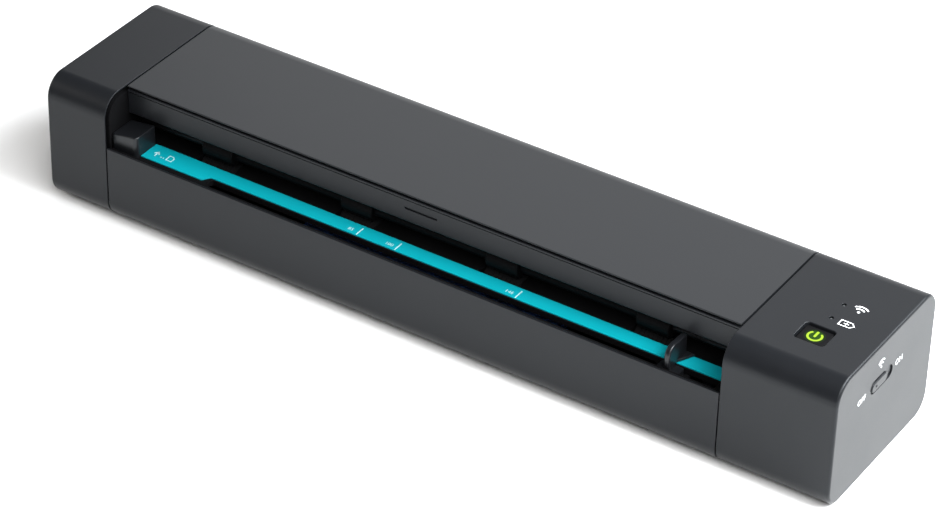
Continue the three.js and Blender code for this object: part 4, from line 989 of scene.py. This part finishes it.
def ink(name, strokes, surface, height=INK):
    """Printed strokes on a surface: one mesh for all the marks that belong together."""
    points, faces = [], []
    for stroke, width, closed in strokes:
        pairs = stroke_pairs(stroke, width, closed)
        first = len(points)
        for left_point, right_point in pairs:
            points += [surface(*left_point, -INK), surface(*right_point, -INK),
                       surface(*right_point, height), surface(*left_point, height)]
        local = skin_faces(len(pairs), 4, closed)
        if not closed:
            local += [(0, 1, 2, 3), tuple(4 * (len(pairs) - 1) + i for i in range(4))]
        faces += [tuple(first + i for i in face) for face in local]
    return mesh_piece(name, points, faces)


def line(*points, width=0.5, closed=False):
    return (list(points), width, closed)


def dot(a, b, width):
    return ([(a - 0.01, b), (a + 0.01, b)], width, False)


# %% [markdown]
# ## Lettering
# Numbers and words come from Blender's own font. A text object makes the letters, its mesh is taken, and
# every point is laid onto the surface by the same kind of function as the strokes. Only plain sizes and the
# words ON and OFF are written on this machine.


# %% Lettering
def lettering(name, words, size, surface, weight=0.02):
    """Words as thin solid letters on a surface, centred on its origin."""
    text = bpy.data.curves.new(name, "FONT")
    text.body = words
    text.size = size
    text.align_x = "CENTER"
    text.align_y = "CENTER"
    text.extrude = INK
    text.offset = weight
    text.resolution_u = 3
    holder = add_object(name, text)
    graph = bpy.context.evaluated_depsgraph_get()
    flat = bpy.data.meshes.new_from_object(holder.evaluated_get(graph))
    points = [surface(*point.co) for point in flat.vertices]
    faces = [tuple(face.vertices) for face in flat.polygons]
    bpy.data.objects.remove(holder)
    bpy.data.meshes.remove(flat)
    piece = mesh_piece(name, points, faces)
    soft = bmesh.new()
    soft.from_mesh(piece.data)
    bmesh.ops.remove_doubles(soft, verts=soft.verts, dist=1e-6)
    bmesh.ops.recalc_face_normals(soft, faces=soft.faces)
    soft.to_mesh(piece.data)
    soft.free()
    return piece


# %% [markdown]
# ## Marks on the strip
# Three ticks tell how wide a sheet is, each with its distance from the fixed guide in millimetres. At the
# left end an arrow, two dots and a small sheet say which way the paper goes in.

# %% Marks on the strip
TICK_DISTANCES = (85, 100, 146)
TICK_FRONT = 0.4
TICK_LENGTH = 4
TICK_WIDTH = 0.4
NUMBER_SIZE = 2.1
NUMBER_SHIFT = (-3.2, 1.6)
SHEET_SHIFT = (5.4, 4.2)
guide_x, guide_y, guide_z = spans_of("fixed_paper_guide")


def on_strip(x, y):
    return lambda a, b, height: (x + a, y + b, strip_high.z + height)


tick_y = narrow_front + TICK_FRONT
tick_places = {distance: guide_x[1] + distance for distance in TICK_DISTANCES}
ticks = [line((x, tick_y), (x, tick_y + TICK_LENGTH), width=TICK_WIDTH) for x in tick_places.values()]
dress(ink("strip_ticks", ticks, on_strip(0, 0)), "faint_ink", "base")
for distance, x in tick_places.items():
    place = on_strip(x + NUMBER_SHIFT[0], tick_y + NUMBER_SHIFT[1])
    dress(lettering(f"strip_number_{distance}", str(distance), NUMBER_SIZE, place, 0), "faint_ink", "base")

sheet_marks = [
    line((-2.4, -0.3), (-1.5, 0.8), (-0.6, -0.3), width=0.42),
    line((-1.5, 0.6), (-1.5, -1.5), width=0.42),
    dot(0.8, -1.2, 0.5),
    dot(1.8, -1.2, 0.5),
    line((3, -1.5), (5.2, -1.5), (5.2, 0.3), (4.4, 1.1), (3, 1.1), width=0.35, closed=True),
]
sheet_place = on_strip(guide_x[1] + SHEET_SHIFT[0], strip_low.y + SHEET_SHIFT[1])
dress(ink("strip_paper_marks", sheet_marks, sheet_place), "faint_ink", "base")

# %% [markdown]
# ## The fixed guide
# The fixed guide is a small solid block against the left cap. Its top rises towards the paper, and its
# front right corner is round: that corner is the brightest line in the mouth. The rings of this loft have a
# sloping top, because each of their points takes its height from where it lies.

# %% The fixed guide
GUIDE_SLOPE = 1.5
GUIDE_EDGE = 0.5
GUIDE_CORNERS = (0.7, 1.7, 0.7, 0.7)


def guide_ring(gap, drop):
    """A ring of the guide, which lies a little below its sloping top."""
    slope = GUIDE_SLOPE / (guide_x[1] - guide_x[0])
    return [(x, y, guide_z[1] - (guide_x[1] - x) * slope - drop)
            for x, y in rounded(guide_x, guide_y, GUIDE_CORNERS, 8, gap)]


guide_rings = [at_z(guide_z[0], [(x, y) for x, y, z in guide_ring(0, 0)])]
guide_rings += [guide_ring(-inset, depth) for inset, depth in reversed(edge_steps(GUIDE_EDGE))]
dress(loft("fixed_guide_block", guide_rings), "shell", "base", "fixed_paper_guide", look="guide_shell")

# %% [markdown]
# ## The sliding guide
# The sliding guide is a blade that leans on the other edge of the sheet. Its nose is a large quarter circle
# and its edges are round. A wedge-shaped foot holds it upright on the strip, a leg goes down through the slot
# to the carriage, and a neck joins the leg to the blade. The four bodies are welded, because the real guide
# is one moulding.

# %% The sliding guide
slider_x, slider_y, slider_z = spans_of("sliding_paper_guide")
BLADE_THICKNESS = 2
BLADE_EDGE = 0.55
BLADE_DROP_SHARE = 0.07
BLADE_CORNERS = (0.9, 0.7, 1, 3.6)
LEG_LENGTH = 8
LEG_DEPTH = 4.2
FOOT_THICKNESS = 1
FOOT_LENGTH = 6.2
FOOT_REACH = 3
CLOSE_FIT = 0.15
blade_x = centred(slider_x[0] + LEG_LENGTH / 2, BLADE_THICKNESS)
blade_under = strip_high.z + CLOSE_FIT
foot_top = blade_under + FOOT_THICKNESS


def blade_outline(gap):
    """The blade from the side. Its top edge falls a little towards the rear."""
    depth = slider_y[1] - slider_y[0]
    return [(y, z - (z - blade_under) * BLADE_DROP_SHARE * (y - slider_y[0]) / depth)
            for y, z in rounded(slider_y, (blade_under, slider_z[1]), BLADE_CORNERS, 10, gap)]


blade_rings = edge_rings(at_x, blade_x[0], 1, blade_outline, BLADE_EDGE)
blade_rings += edge_rings(at_x, blade_x[1], -1, blade_outline, BLADE_EDGE)[::-1]
blade = loft("sliding_guide_blade", blade_rings)
inner_x = wider(blade_x, -0.1)
foot_front, foot_rear = slider_y[1] - FOOT_LENGTH, slider_y[1] - 0.05
foot_outline = [(inner_x[0], foot_front), (inner_x[1], foot_front), (blade_x[1] + FOOT_REACH, foot_rear),
                (inner_x[0], foot_rear)]
foot = prism("foot", at_z, foot_outline, (blade_under + 0.02, foot_top))
soften(foot, SEAM_SOFTNESS)
leg_y = centred(middle_of(carriage_y), LEG_DEPTH)
leg_outline = rounded((slider_x[0], slider_x[0] + LEG_LENGTH), leg_y, 0.6, 4)
leg = prism("leg", at_z, leg_outline, (slider_z[0], paper_z - CLOSE_FIT))
neck_outline = rounded(inner_x, (leg_y[0] + 0.2, leg_y[1]), 0.4, 4)
neck = prism("neck", at_z, neck_outline, (slider_z[0] + 0.3, foot_top))
weld(blade, [foot, leg, neck])
dress(blade, "shell", "sliding_guide", "sliding_paper_guide", look="guide_shell")

# %% [markdown]
# ## The power button
# The button is a plain dark cap that stands a little below the surface, with a flange that keeps it under
# the wall and a plunger that reaches down to the switch. Its round edge and its flange are rings of one
# loft, and only the plunger is welded on.

# %% The power button
BUTTON_EDGE = 0.45
FLANGE_THICKNESS = 1
PLUNGER_RADIUS = 1.6
button_top = button_z[1] - INK
flange_top = SKIN_TOP - WALL - FIT
button_outline = growing(button_x, button_y, BUTTON_CORNER, 6)
button_rings = [
    at_z(flange_top - FLANGE_THICKNESS, button_outline(BUTTON_FLANGE)),
    at_z(flange_top, button_outline(BUTTON_FLANGE)),
    at_z(flange_top, button_outline(0)),
]
button_rings += edge_rings(at_z, button_top, -1, button_outline, BUTTON_EDGE)[::-1]
button = loft("power_button_cap", button_rings)
plunger_profile = [(button_z[0], PLUNGER_RADIUS - PEG_CHAMFER), (button_z[0] + PEG_CHAMFER, PLUNGER_RADIUS),
                   (flange_top - FLANGE_THICKNESS / 2, PLUNGER_RADIUS)]
plunger = turned("plunger", at_z, plunger_profile, middle_xy("power_button"))
weld(button, [plunger])
dress(button, "black_plastic", "power_key", "power_button")

# %% [markdown]
# ## The lit symbol
# A green-yellow light shines through the button's standby mark: an open ring and a bar. The bright core is
# an emitting stroke. The plastic round it scatters some of the light, which two thin discs stand for: a
# dark green one that fills the ring, and a wider one that is dimmer still.

# %% The lit symbol
SYMBOL_RADIUS = 2.25
SYMBOL_WIDTH = 0.74
SYMBOL_GAP = 96
CORE_LIGHT = (0.52, 0.80, 0.045)
NEAR_GLOW = (0.02, 0.085, 0.0005)
FAR_GLOW = (0.006, 0.02, 0.0015)
GLOW_RADII = (2.75, 3.4)
button_middle = middle_xy("power_button")


def lit(name, colour):
    """A finish that gives light, on a slightly uneven ground."""
    material = finish(name, [part * 0.05 for part in colour], [part * 0.08 for part in colour], (0.4, 0.5),
                      patch=1, Specular_IOR_Level=0.1)
    shader_of(material).inputs["Emission Color"].default_value = (*colour, 1)
    shader_of(material).inputs["Emission Strength"].default_value = 1
    return name


def glow_disc(name, radius, height):
    profile = [(button_top - INK, radius), (button_top + height, radius), (button_top + height, radius * 0.5)]
    return turned(name, at_z, profile, button_middle)


def on_button(a, b, height):
    return (button_middle[0] + a, button_middle[1] + b, button_top + height)


standby_mark = [
    (arc((0, 0), SYMBOL_RADIUS, 90 + SYMBOL_GAP / 2, 450 - SYMBOL_GAP / 2, 28), SYMBOL_WIDTH, False),
    line((0, -0.1), (0, SYMBOL_RADIUS - 0.1), width=SYMBOL_WIDTH + 0.1),
]
dress(glow_disc("power_glow_far", GLOW_RADII[1], INK / 3), lit("far_glow", FAR_GLOW), "power_key")
dress(glow_disc("power_glow_near", GLOW_RADII[0], INK / 2), lit("near_glow", NEAR_GLOW), "power_key")
dress(ink("power_symbol", standby_mark, on_button), lit("symbol_core", CORE_LIGHT), "power_key")

# %% [markdown]
# ## Pictograms on the cap
# Beside each pinhole a white mark says what its light means: a battery that points to the right with a plus
# in it, and radio waves over a dot. Both are drawn with the same pen.


# %% Pictograms on the cap
def on_cap(x, y):
    return lambda a, b, height: (x + a, y + b, SKIN_TOP + height)


def radio_waves(scale):
    waves = [(arc((0, -1.5), radius, 48, 132, 12), 0.55, False) for radius in (1.9, 3.2)]
    marks = waves + [dot(0, -1.35, 0.95)]
    return [([(a * scale, b * scale) for a, b in points], width * scale, closed)
            for points, width, closed in marks]


battery_mark = [
    line((-2.3, -1.3), (1.4, -1.3), (2.6, 0), (1.4, 1.3), (-2.3, 1.3), width=0.36, closed=True),
    line((-0.9, 0), (0.7, 0), width=0.32),
    line((-0.1, -0.6), (-0.1, 0.6), width=0.32),
]
dress(ink("battery_mark", battery_mark, on_cap(light_x + 5.5, light_places[0] - 0.4)), "white_ink", "base")
dress(ink("radio_mark", radio_waves(1), on_cap(light_x + 5.6, light_places[1] + 0.3)), "white_ink", "base")

# %% [markdown]
# ## Status lights
# Two thin rods of clear plastic carry light from the board up to the pinholes. Their tops are small domes
# just under the surface, and a bar joins them at the bottom.

# %% Status lights
BAR_HEIGHT = 1.15
lens_profile = [(lights_z[0], LIGHT_RADIUS), (lights_z[1] - 0.35, LIGHT_RADIUS),
                (lights_z[1] - 0.12, LIGHT_RADIUS * 0.8), (lights_z[1], LIGHT_RADIUS * 0.35)]
lenses = [turned("status_light_lenses", at_z, lens_profile, (light_x, y), sides=24) for y in light_places]
bar_outline = rounded(centred(light_x, 2 * LIGHT_RADIUS - 0.1), light_places, 0.1, 3)
bar_foot = lights_z[0] + 0.05
light_bar = prism("bar", at_z, bar_outline, (bar_foot, bar_foot + BAR_HEIGHT))
weld(lenses[0], [lenses[1], light_bar])
dress(lenses[0], "light_guide", "base", "status_light_guide")

# %% [markdown]
# ## The slide switch
# The switch's knob fills almost three quarters of its slot and stands a little proud of the end face, with a
# dark line round it. A pip near its front end gives the finger a hold. The plate that moves with the knob
# lies in the pocket close under the face, and closes the rest of the slot.

# %% The slide switch
PLATE_PLAY = 0.1
KNOB_LENGTH = 10.1
KNOB_HEIGHT = 3.45
KNOB_EDGE = 0.45
PIP_RADIUS = 0.5
PIP_HEIGHT = 0.26
PIP_FORWARD = 2.2
knob_middle = (middle_of(knob_y), slot_z)
knob_face = knob_x[1] - PIP_HEIGHT
knob_outline = growing_bar(knob_middle, KNOB_LENGTH, KNOB_HEIGHT, steps=8, flat=0.05)
knob_rings = [at_x(knob_x[0] + 0.2, knob_outline(0))]
knob_rings += edge_rings(at_x, knob_face, -1, knob_outline, KNOB_EDGE)[::-1]
knob = loft("mode_switch_slider", knob_rings)
plate_span = (knob_x[0], SKIN_RIGHT - SWITCH_RECESS - PLATE_PLAY)
plate = prism("plate", at_x, rounded(knob_y, knob_z, POCKET_CORNER, 4), plate_span)
pip_profile = [(knob_face - 0.3, PIP_RADIUS), (knob_face, PIP_RADIUS), (knob_face + 0.18, PIP_RADIUS * 0.75),
               (knob_face + PIP_HEIGHT, PIP_RADIUS * 0.3)]
pip = turned("pip", at_x, pip_profile, (knob_middle[0] - PIP_FORWARD, slot_z), sides=24)
weld(knob, [plate, pip])
dress(knob, "shell", "mode_switch", "mode_switch_knob")

# %% [markdown]
# ## Words on the end face
# OFF stands in front of the slot and ON behind it, with small radio waves above: the switch joins the
# scanner to a network. The surface function turns the letters upright on the end face.


# %% Words on the end face
def on_end(y, z):
    return lambda a, b, height: (SKIN_RIGHT + height, y + a, z + b)


WORD_SIZE = 3
WORD_WEIGHT = 0.015
WORD_PLACES = {"OFF": (-12.9, -0.2), "ON": (11.2, 0.5)}
for word, (along, rise) in WORD_PLACES.items():
    place = on_end(slot_y + along, slot_z + rise)
    letters = lettering(f"switch_word_{word.lower()}", word, WORD_SIZE, place, WORD_WEIGHT)
    dress(letters, "white_ink", "base")
dress(ink("switch_radio_mark", radio_waves(0.85), on_end(slot_y - 1.2, slot_z + 6.7)), "white_ink", "base")

# %% [markdown]
# ## Sockets at the rear
# The data socket and the card slot are shells of folded steel, fixed on the board and open towards the
# rear wall. Each one is a loft that goes along the outside, turns over the mouth and comes back inside. The
# data socket has a tongue with five contacts, and the card slot a black bed.


# %% Sockets at the rear
def socket_shell(name, node, corner, wall):
    """A folded shell: along the outside, over the mouth and back inside."""
    x, y, z = spans_of(node)
    outline = growing(x, z, corner, 5)
    return loft(name, [
        at_y(y[0], outline(0)),
        at_y(y[1] - 0.08, outline(0)),
        at_y(y[1], outline(-0.07)),
        at_y(y[1], outline(0.05 - wall)),
        at_y(y[1] - 0.05, outline(-wall)),
        at_y(y[0] + 1.2, outline(-wall)),
    ])


SOCKET_WALL = 0.28
CONTACT_PITCH = 0.75
TONGUE_THICKNESS = 0.75
usb_x, usb_y, usb_z = spans_of("usb_socket")
tongue_x, tongue_z = middle_of(usb_x), middle_of(usb_z)
tongue_root = rounded(centred(tongue_x, 4.4), (tongue_z, tongue_z + TONGUE_THICKNESS), 0.15, 3)
tongue_tip = rounded(centred(tongue_x, 4.1), wider((tongue_z, tongue_z + TONGUE_THICKNESS), -0.15), 0.1, 3)
tongue = loft("usb_tongue", [
    at_y(usb_y[0] + 1, tongue_root),
    at_y(usb_y[1] - 0.6, tongue_root),
    at_y(usb_y[1] - 0.4, tongue_tip),
])
contacts = []
for place in range(-2, 3):
    contact_x = centred(tongue_x + CONTACT_PITCH * place, 0.3)
    contact_outline = rounded(contact_x, (tongue_z - 0.08, tongue_z + 0.1), 0.05, 2)
    contacts.append(prism("usb_contact", at_y, contact_outline, (usb_y[0] + 1.1, usb_y[1] - 0.9)))
weld(contacts[0], contacts[1:])
contacts[0].name = "usb_contacts"
card_x, card_y, card_z = spans_of("card_socket")
bed_outline = rounded(wider(card_x, -0.5), (card_z[0] + 0.3, card_z[0] + 0.7), 0.1, 3)
card_bed = prism("card_bed", at_y, bed_outline, (card_y[0] + 1, card_y[1] - 0.5))
dress(socket_shell("usb_socket_shell", "usb_socket", 0.9, SOCKET_WALL), "steel", "base", "usb_socket")
dress(tongue, "black_plastic", "base")
dress(contacts[0], "bronze", "base")
dress(socket_shell("card_slot_shell", "card_socket", 0.4, SOCKET_WALL - 0.05), "steel", "base", "card_socket")
dress(card_bed, "black_plastic", "base")

# %% [markdown]
# ## Rubber feet
# Four round pads of soft rubber stand a little out of the underside. Their lower edge is round from the
# mould, and a shallow ring in the face keeps them from sticking to a table. The profile goes down the side
# and then inwards over the face.

# %% Rubber feet
FOOT_RADIUS = 5
for node in foot_nodes["left"] + foot_nodes["right"]:
    foot_profile = [(box_mm(node)[1].z, FOOT_RADIUS - 0.1), (0.4, FOOT_RADIUS), (0.18, FOOT_RADIUS - 0.06),
                    (0.05, FOOT_RADIUS - 0.22), (0, FOOT_RADIUS - 0.45), (0, FOOT_RADIUS - 1.3),
                    (0.1, FOOT_RADIUS - 1.4), (0.1, FOOT_RADIUS - 1.8), (0, FOOT_RADIUS - 1.9)]
    pad = turned(f"{node}_pad", at_z, foot_profile, middle_xy(node))
    dress(pad, "rubber", "base", node)

# %% [markdown]
# ## Screws
# The screws are self-tapping: their thread is a real helix. Every ring of the shank has a bump, and the
# bump's place round the ring moves on with the height, so that one turn of the screw climbs one pitch. The
# head has a rounded rim and a cross recess, which is cut with two crossed blades.

# %% Screws
THREAD_PITCH = 0.8
THREAD_STEPS = 6
THREAD_SIDES = 24
THREAD_HEIGHT = 0.22
SHANK_RADIUS = 0.9


def shank_rings(x, y, z):
    """Rings up a threaded shank. The ridge goes round once in every pitch."""
    count = int((z[1] - z[0]) / THREAD_PITCH * THREAD_STEPS)
    rings = []
    for step in range(count + 1):
        height = z[0] + (z[1] - z[0]) * step / count
        fade = min(1, (z[1] - height) / 2 + 0.3)
        ring = []
        for side in range(THREAD_SIDES):
            phase = (height / THREAD_PITCH - side / THREAD_SIDES) % 1
            ridge = max(0, 1 - abs(phase - 0.5) * 4)
            reach = (SHANK_RADIUS - THREAD_HEIGHT + THREAD_HEIGHT * ridge) * fade
            turn = 2 * pi * side / THREAD_SIDES
            ring.append((x + reach * cos(turn), y + reach * sin(turn), height))
        rings.append(ring)
    return rings


def screw(name, node, head_radius, head_height):
    low, high = box_mm(node)
    x, y = middle_xy(node)
    head_top = low.z + head_height
    head = [(low.z, head_radius * 0.72), (low.z + head_height * 0.15, head_radius * 0.92),
            (low.z + head_height * 0.45, head_radius), (head_top, head_radius)]
    rings = [at_z(z, circle((x, y), radius, THREAD_SIDES)) for z, radius in head]
    piece = loft(name, rings + shank_rings(x, y, (head_top, high.z)))
    long_arm, short_arm = 1.2 * head_radius, 0.252 * head_radius
    recess = (low.z - OVERRUN, low.z + head_height * 0.75)
    blades = [prism("blade", at_z, rounded(centred(x, along), centred(y, across), 0.12, 3), recess)
              for along, across in ((long_arm, short_arm), (short_arm, long_arm))]
    carve(piece, [weld(blades[0], [blades[1]])])
    return dress(piece, "steel", "base", node, crease=50)


for node in housing_screws:
    screw(f"{node}_threaded", node, head_radius=2.5, head_height=0.7)
screw("hatch_screw_threaded", "battery_cover_screw", head_radius=1.9, head_height=1)

# %% [markdown]
# ## Battery hatch
# The hatch is a long plate that lies flush in the floor, held by one screw at its right end. Its lower edge
# is rounded, its middle is thicker and keeps the battery in place, and a row of fine ribs at the left end
# gives a thumb some hold.

# %% Battery hatch
HATCH_EDGE = 0.3
HATCH_CORNER = 0.9
HATCH_SCREW_WAY = 2.1
RIBS = 6
RIB_PITCH = 1.4
RIB_WIDTH = 0.7
RIB_DEPTH = 0.25
RIB_START = 5
RIB_INSET = 3
PAD_INSETS = (5.6, 1.4)
hatch_x, hatch_y, hatch_z = spans_of("battery_cover")
hatch_outline = growing(hatch_x, hatch_y, HATCH_CORNER, 6)
hatch_bottom = hatch_z[0] + INK
hatch_rings = edge_rings(at_z, hatch_bottom, 1, hatch_outline, HATCH_EDGE)
hatch_rings.append(at_z(hatch_ledge, hatch_outline(0)))
hatch = loft("battery_hatch", hatch_rings)
cuts = []
for i in range(RIBS):
    rib_x = centred(hatch_x[0] + RIB_START + i * RIB_PITCH, RIB_WIDTH)
    rib_outline = rounded(rib_x, wider(hatch_y, -RIB_INSET), 0.3, 4)
    cuts.append(prism("rib_cut", at_z, rib_outline, (hatch_z[0] - OVERRUN, hatch_bottom + RIB_DEPTH)))
cuts.append(rod("screw_way", at_z, (hatch_z[0] - OVERRUN, hatch_ledge + 0.5), HATCH_SCREW_WAY,
                middle_xy("battery_cover_screw"), sides=POST_SIDES))
carve(hatch, cuts)
pad_outline = rounded(wider(hatch_x, -PAD_INSETS[0]), wider(hatch_y, -PAD_INSETS[1]), 1, 5)
pad = prism("pad", at_z, pad_outline, (hatch_ledge - 0.1, hatch_z[1]))
weld(hatch, [pad])
dress(hatch, "shell", "base", "battery_cover")

# %% [markdown]
# ## Rollers
# Each driven shaft carries one rubber sleeve with four wide tyres, and over each tyre runs a pinch wheel, in
# the darkened black plastic as painted shade of the mouth. The tyres have chamfered shoulders and fine
# grooves that let paper dust go. The profile runs out along the tyres and comes back through the bore, so the
# sleeve is a ring-shaped body.

# %% Rollers
SHOULDER = 0.35
GROOVE_PITCH = 1.6
GROOVE_MOUTH = 0.44
GROOVE_FLOOR = 0.2
GROOVE_FALL = 0.16


def tyre(x, width, radius, grooves):
    """The profile of one tyre, with chamfered shoulders and fine grooves."""
    low, high = centred(x, width)
    profile = [(low, radius - SHOULDER), (low + SHOULDER, radius)]
    for i in range(grooves):
        middle = x + (i - (grooves - 1) / 2) * GROOVE_PITCH
        mouth, floor_x = centred(middle, GROOVE_MOUTH), centred(middle, GROOVE_FLOOR)
        profile += [(mouth[0], radius), (floor_x[0], radius - GROOVE_FALL),
                    (floor_x[1], radius - GROOVE_FALL), (mouth[1], radius)]
    return profile + [(high - SHOULDER, radius), (high, radius - SHOULDER)]


def roller(name, node, body, slot, width, radius, sleeve, bore, grooves):
    """A sleeve with its tyres. Sleeve and bore are its outer and inner radius between them."""
    low, high = spans_of(node)[0]
    profile = [(low, bore), (low, sleeve)]
    for x in roller_places:
        start, stop = centred(x, width)
        profile.append((max(start, low), sleeve))
        profile += tyre(x, width, radius, grooves)
        profile.append((min(stop, high), sleeve))
    profile += [(high, sleeve), (high, bore)]
    return dress(turned(name, at_x, profile, axis_of(node), bore=True), slot, body, node)


for end in ("feed", "exit"):
    roller(f"{end}_tyres", f"{end}_roller_sleeve", f"{end}_roller", "rubber",
           width=ROLLER_WIDTH, radius=ROLLER_RADIUS, sleeve=2.5, bore=2.05, grooves=7)
# The pinch wheels take the darkened black plastic as painted shade, so that they sink into the mouth.
for end in ("front", "rear"):
    roller(f"{end}_pinch_wheels", f"{end}_pinch_sleeve", f"{end}_pinch_roller", "black_plastic",
           width=12, radius=4, sleeve=2, bore=1.55, grooves=0)

# %% [markdown]
# ## Everything else
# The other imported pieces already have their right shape: frames, sensors, glass, springs, gears, motor and
# board. They stay as they are, and each gets the finish that the parts record names for it. A small Bevel
# on the plastic ones, the board and the battery takes the knife edge off them without touching their mesh.

# %% Everything else
EDGE_SOFTNESS = 0.12
SOFT_SLOTS = ("black_plastic", "white_plastic", "circuit_board", "battery_wrap")
record_slots = {row["node"]: row["material_slot"] for row in frame["record"]["subparts"]}
kept = [name for name, node in frame["nodes"].items() if not node.hide_render]
for name in kept:
    node = frame["nodes"][name]
    for place in node.material_slots:
        place.link = "OBJECT"
        place.material = FINISHES[record_slots[name]]
    if record_slots[name] in SOFT_SLOTS:
        edge = node.modifiers.new("soft_edges", "BEVEL")
        edge.width = EDGE_SOFTNESS * MM
        edge.segments = 2
        edge.limit_method = "ANGLE"
        edge.angle_limit = radians(50)
print(len(kept), "packed pieces stay:", ", ".join(sorted(kept)))
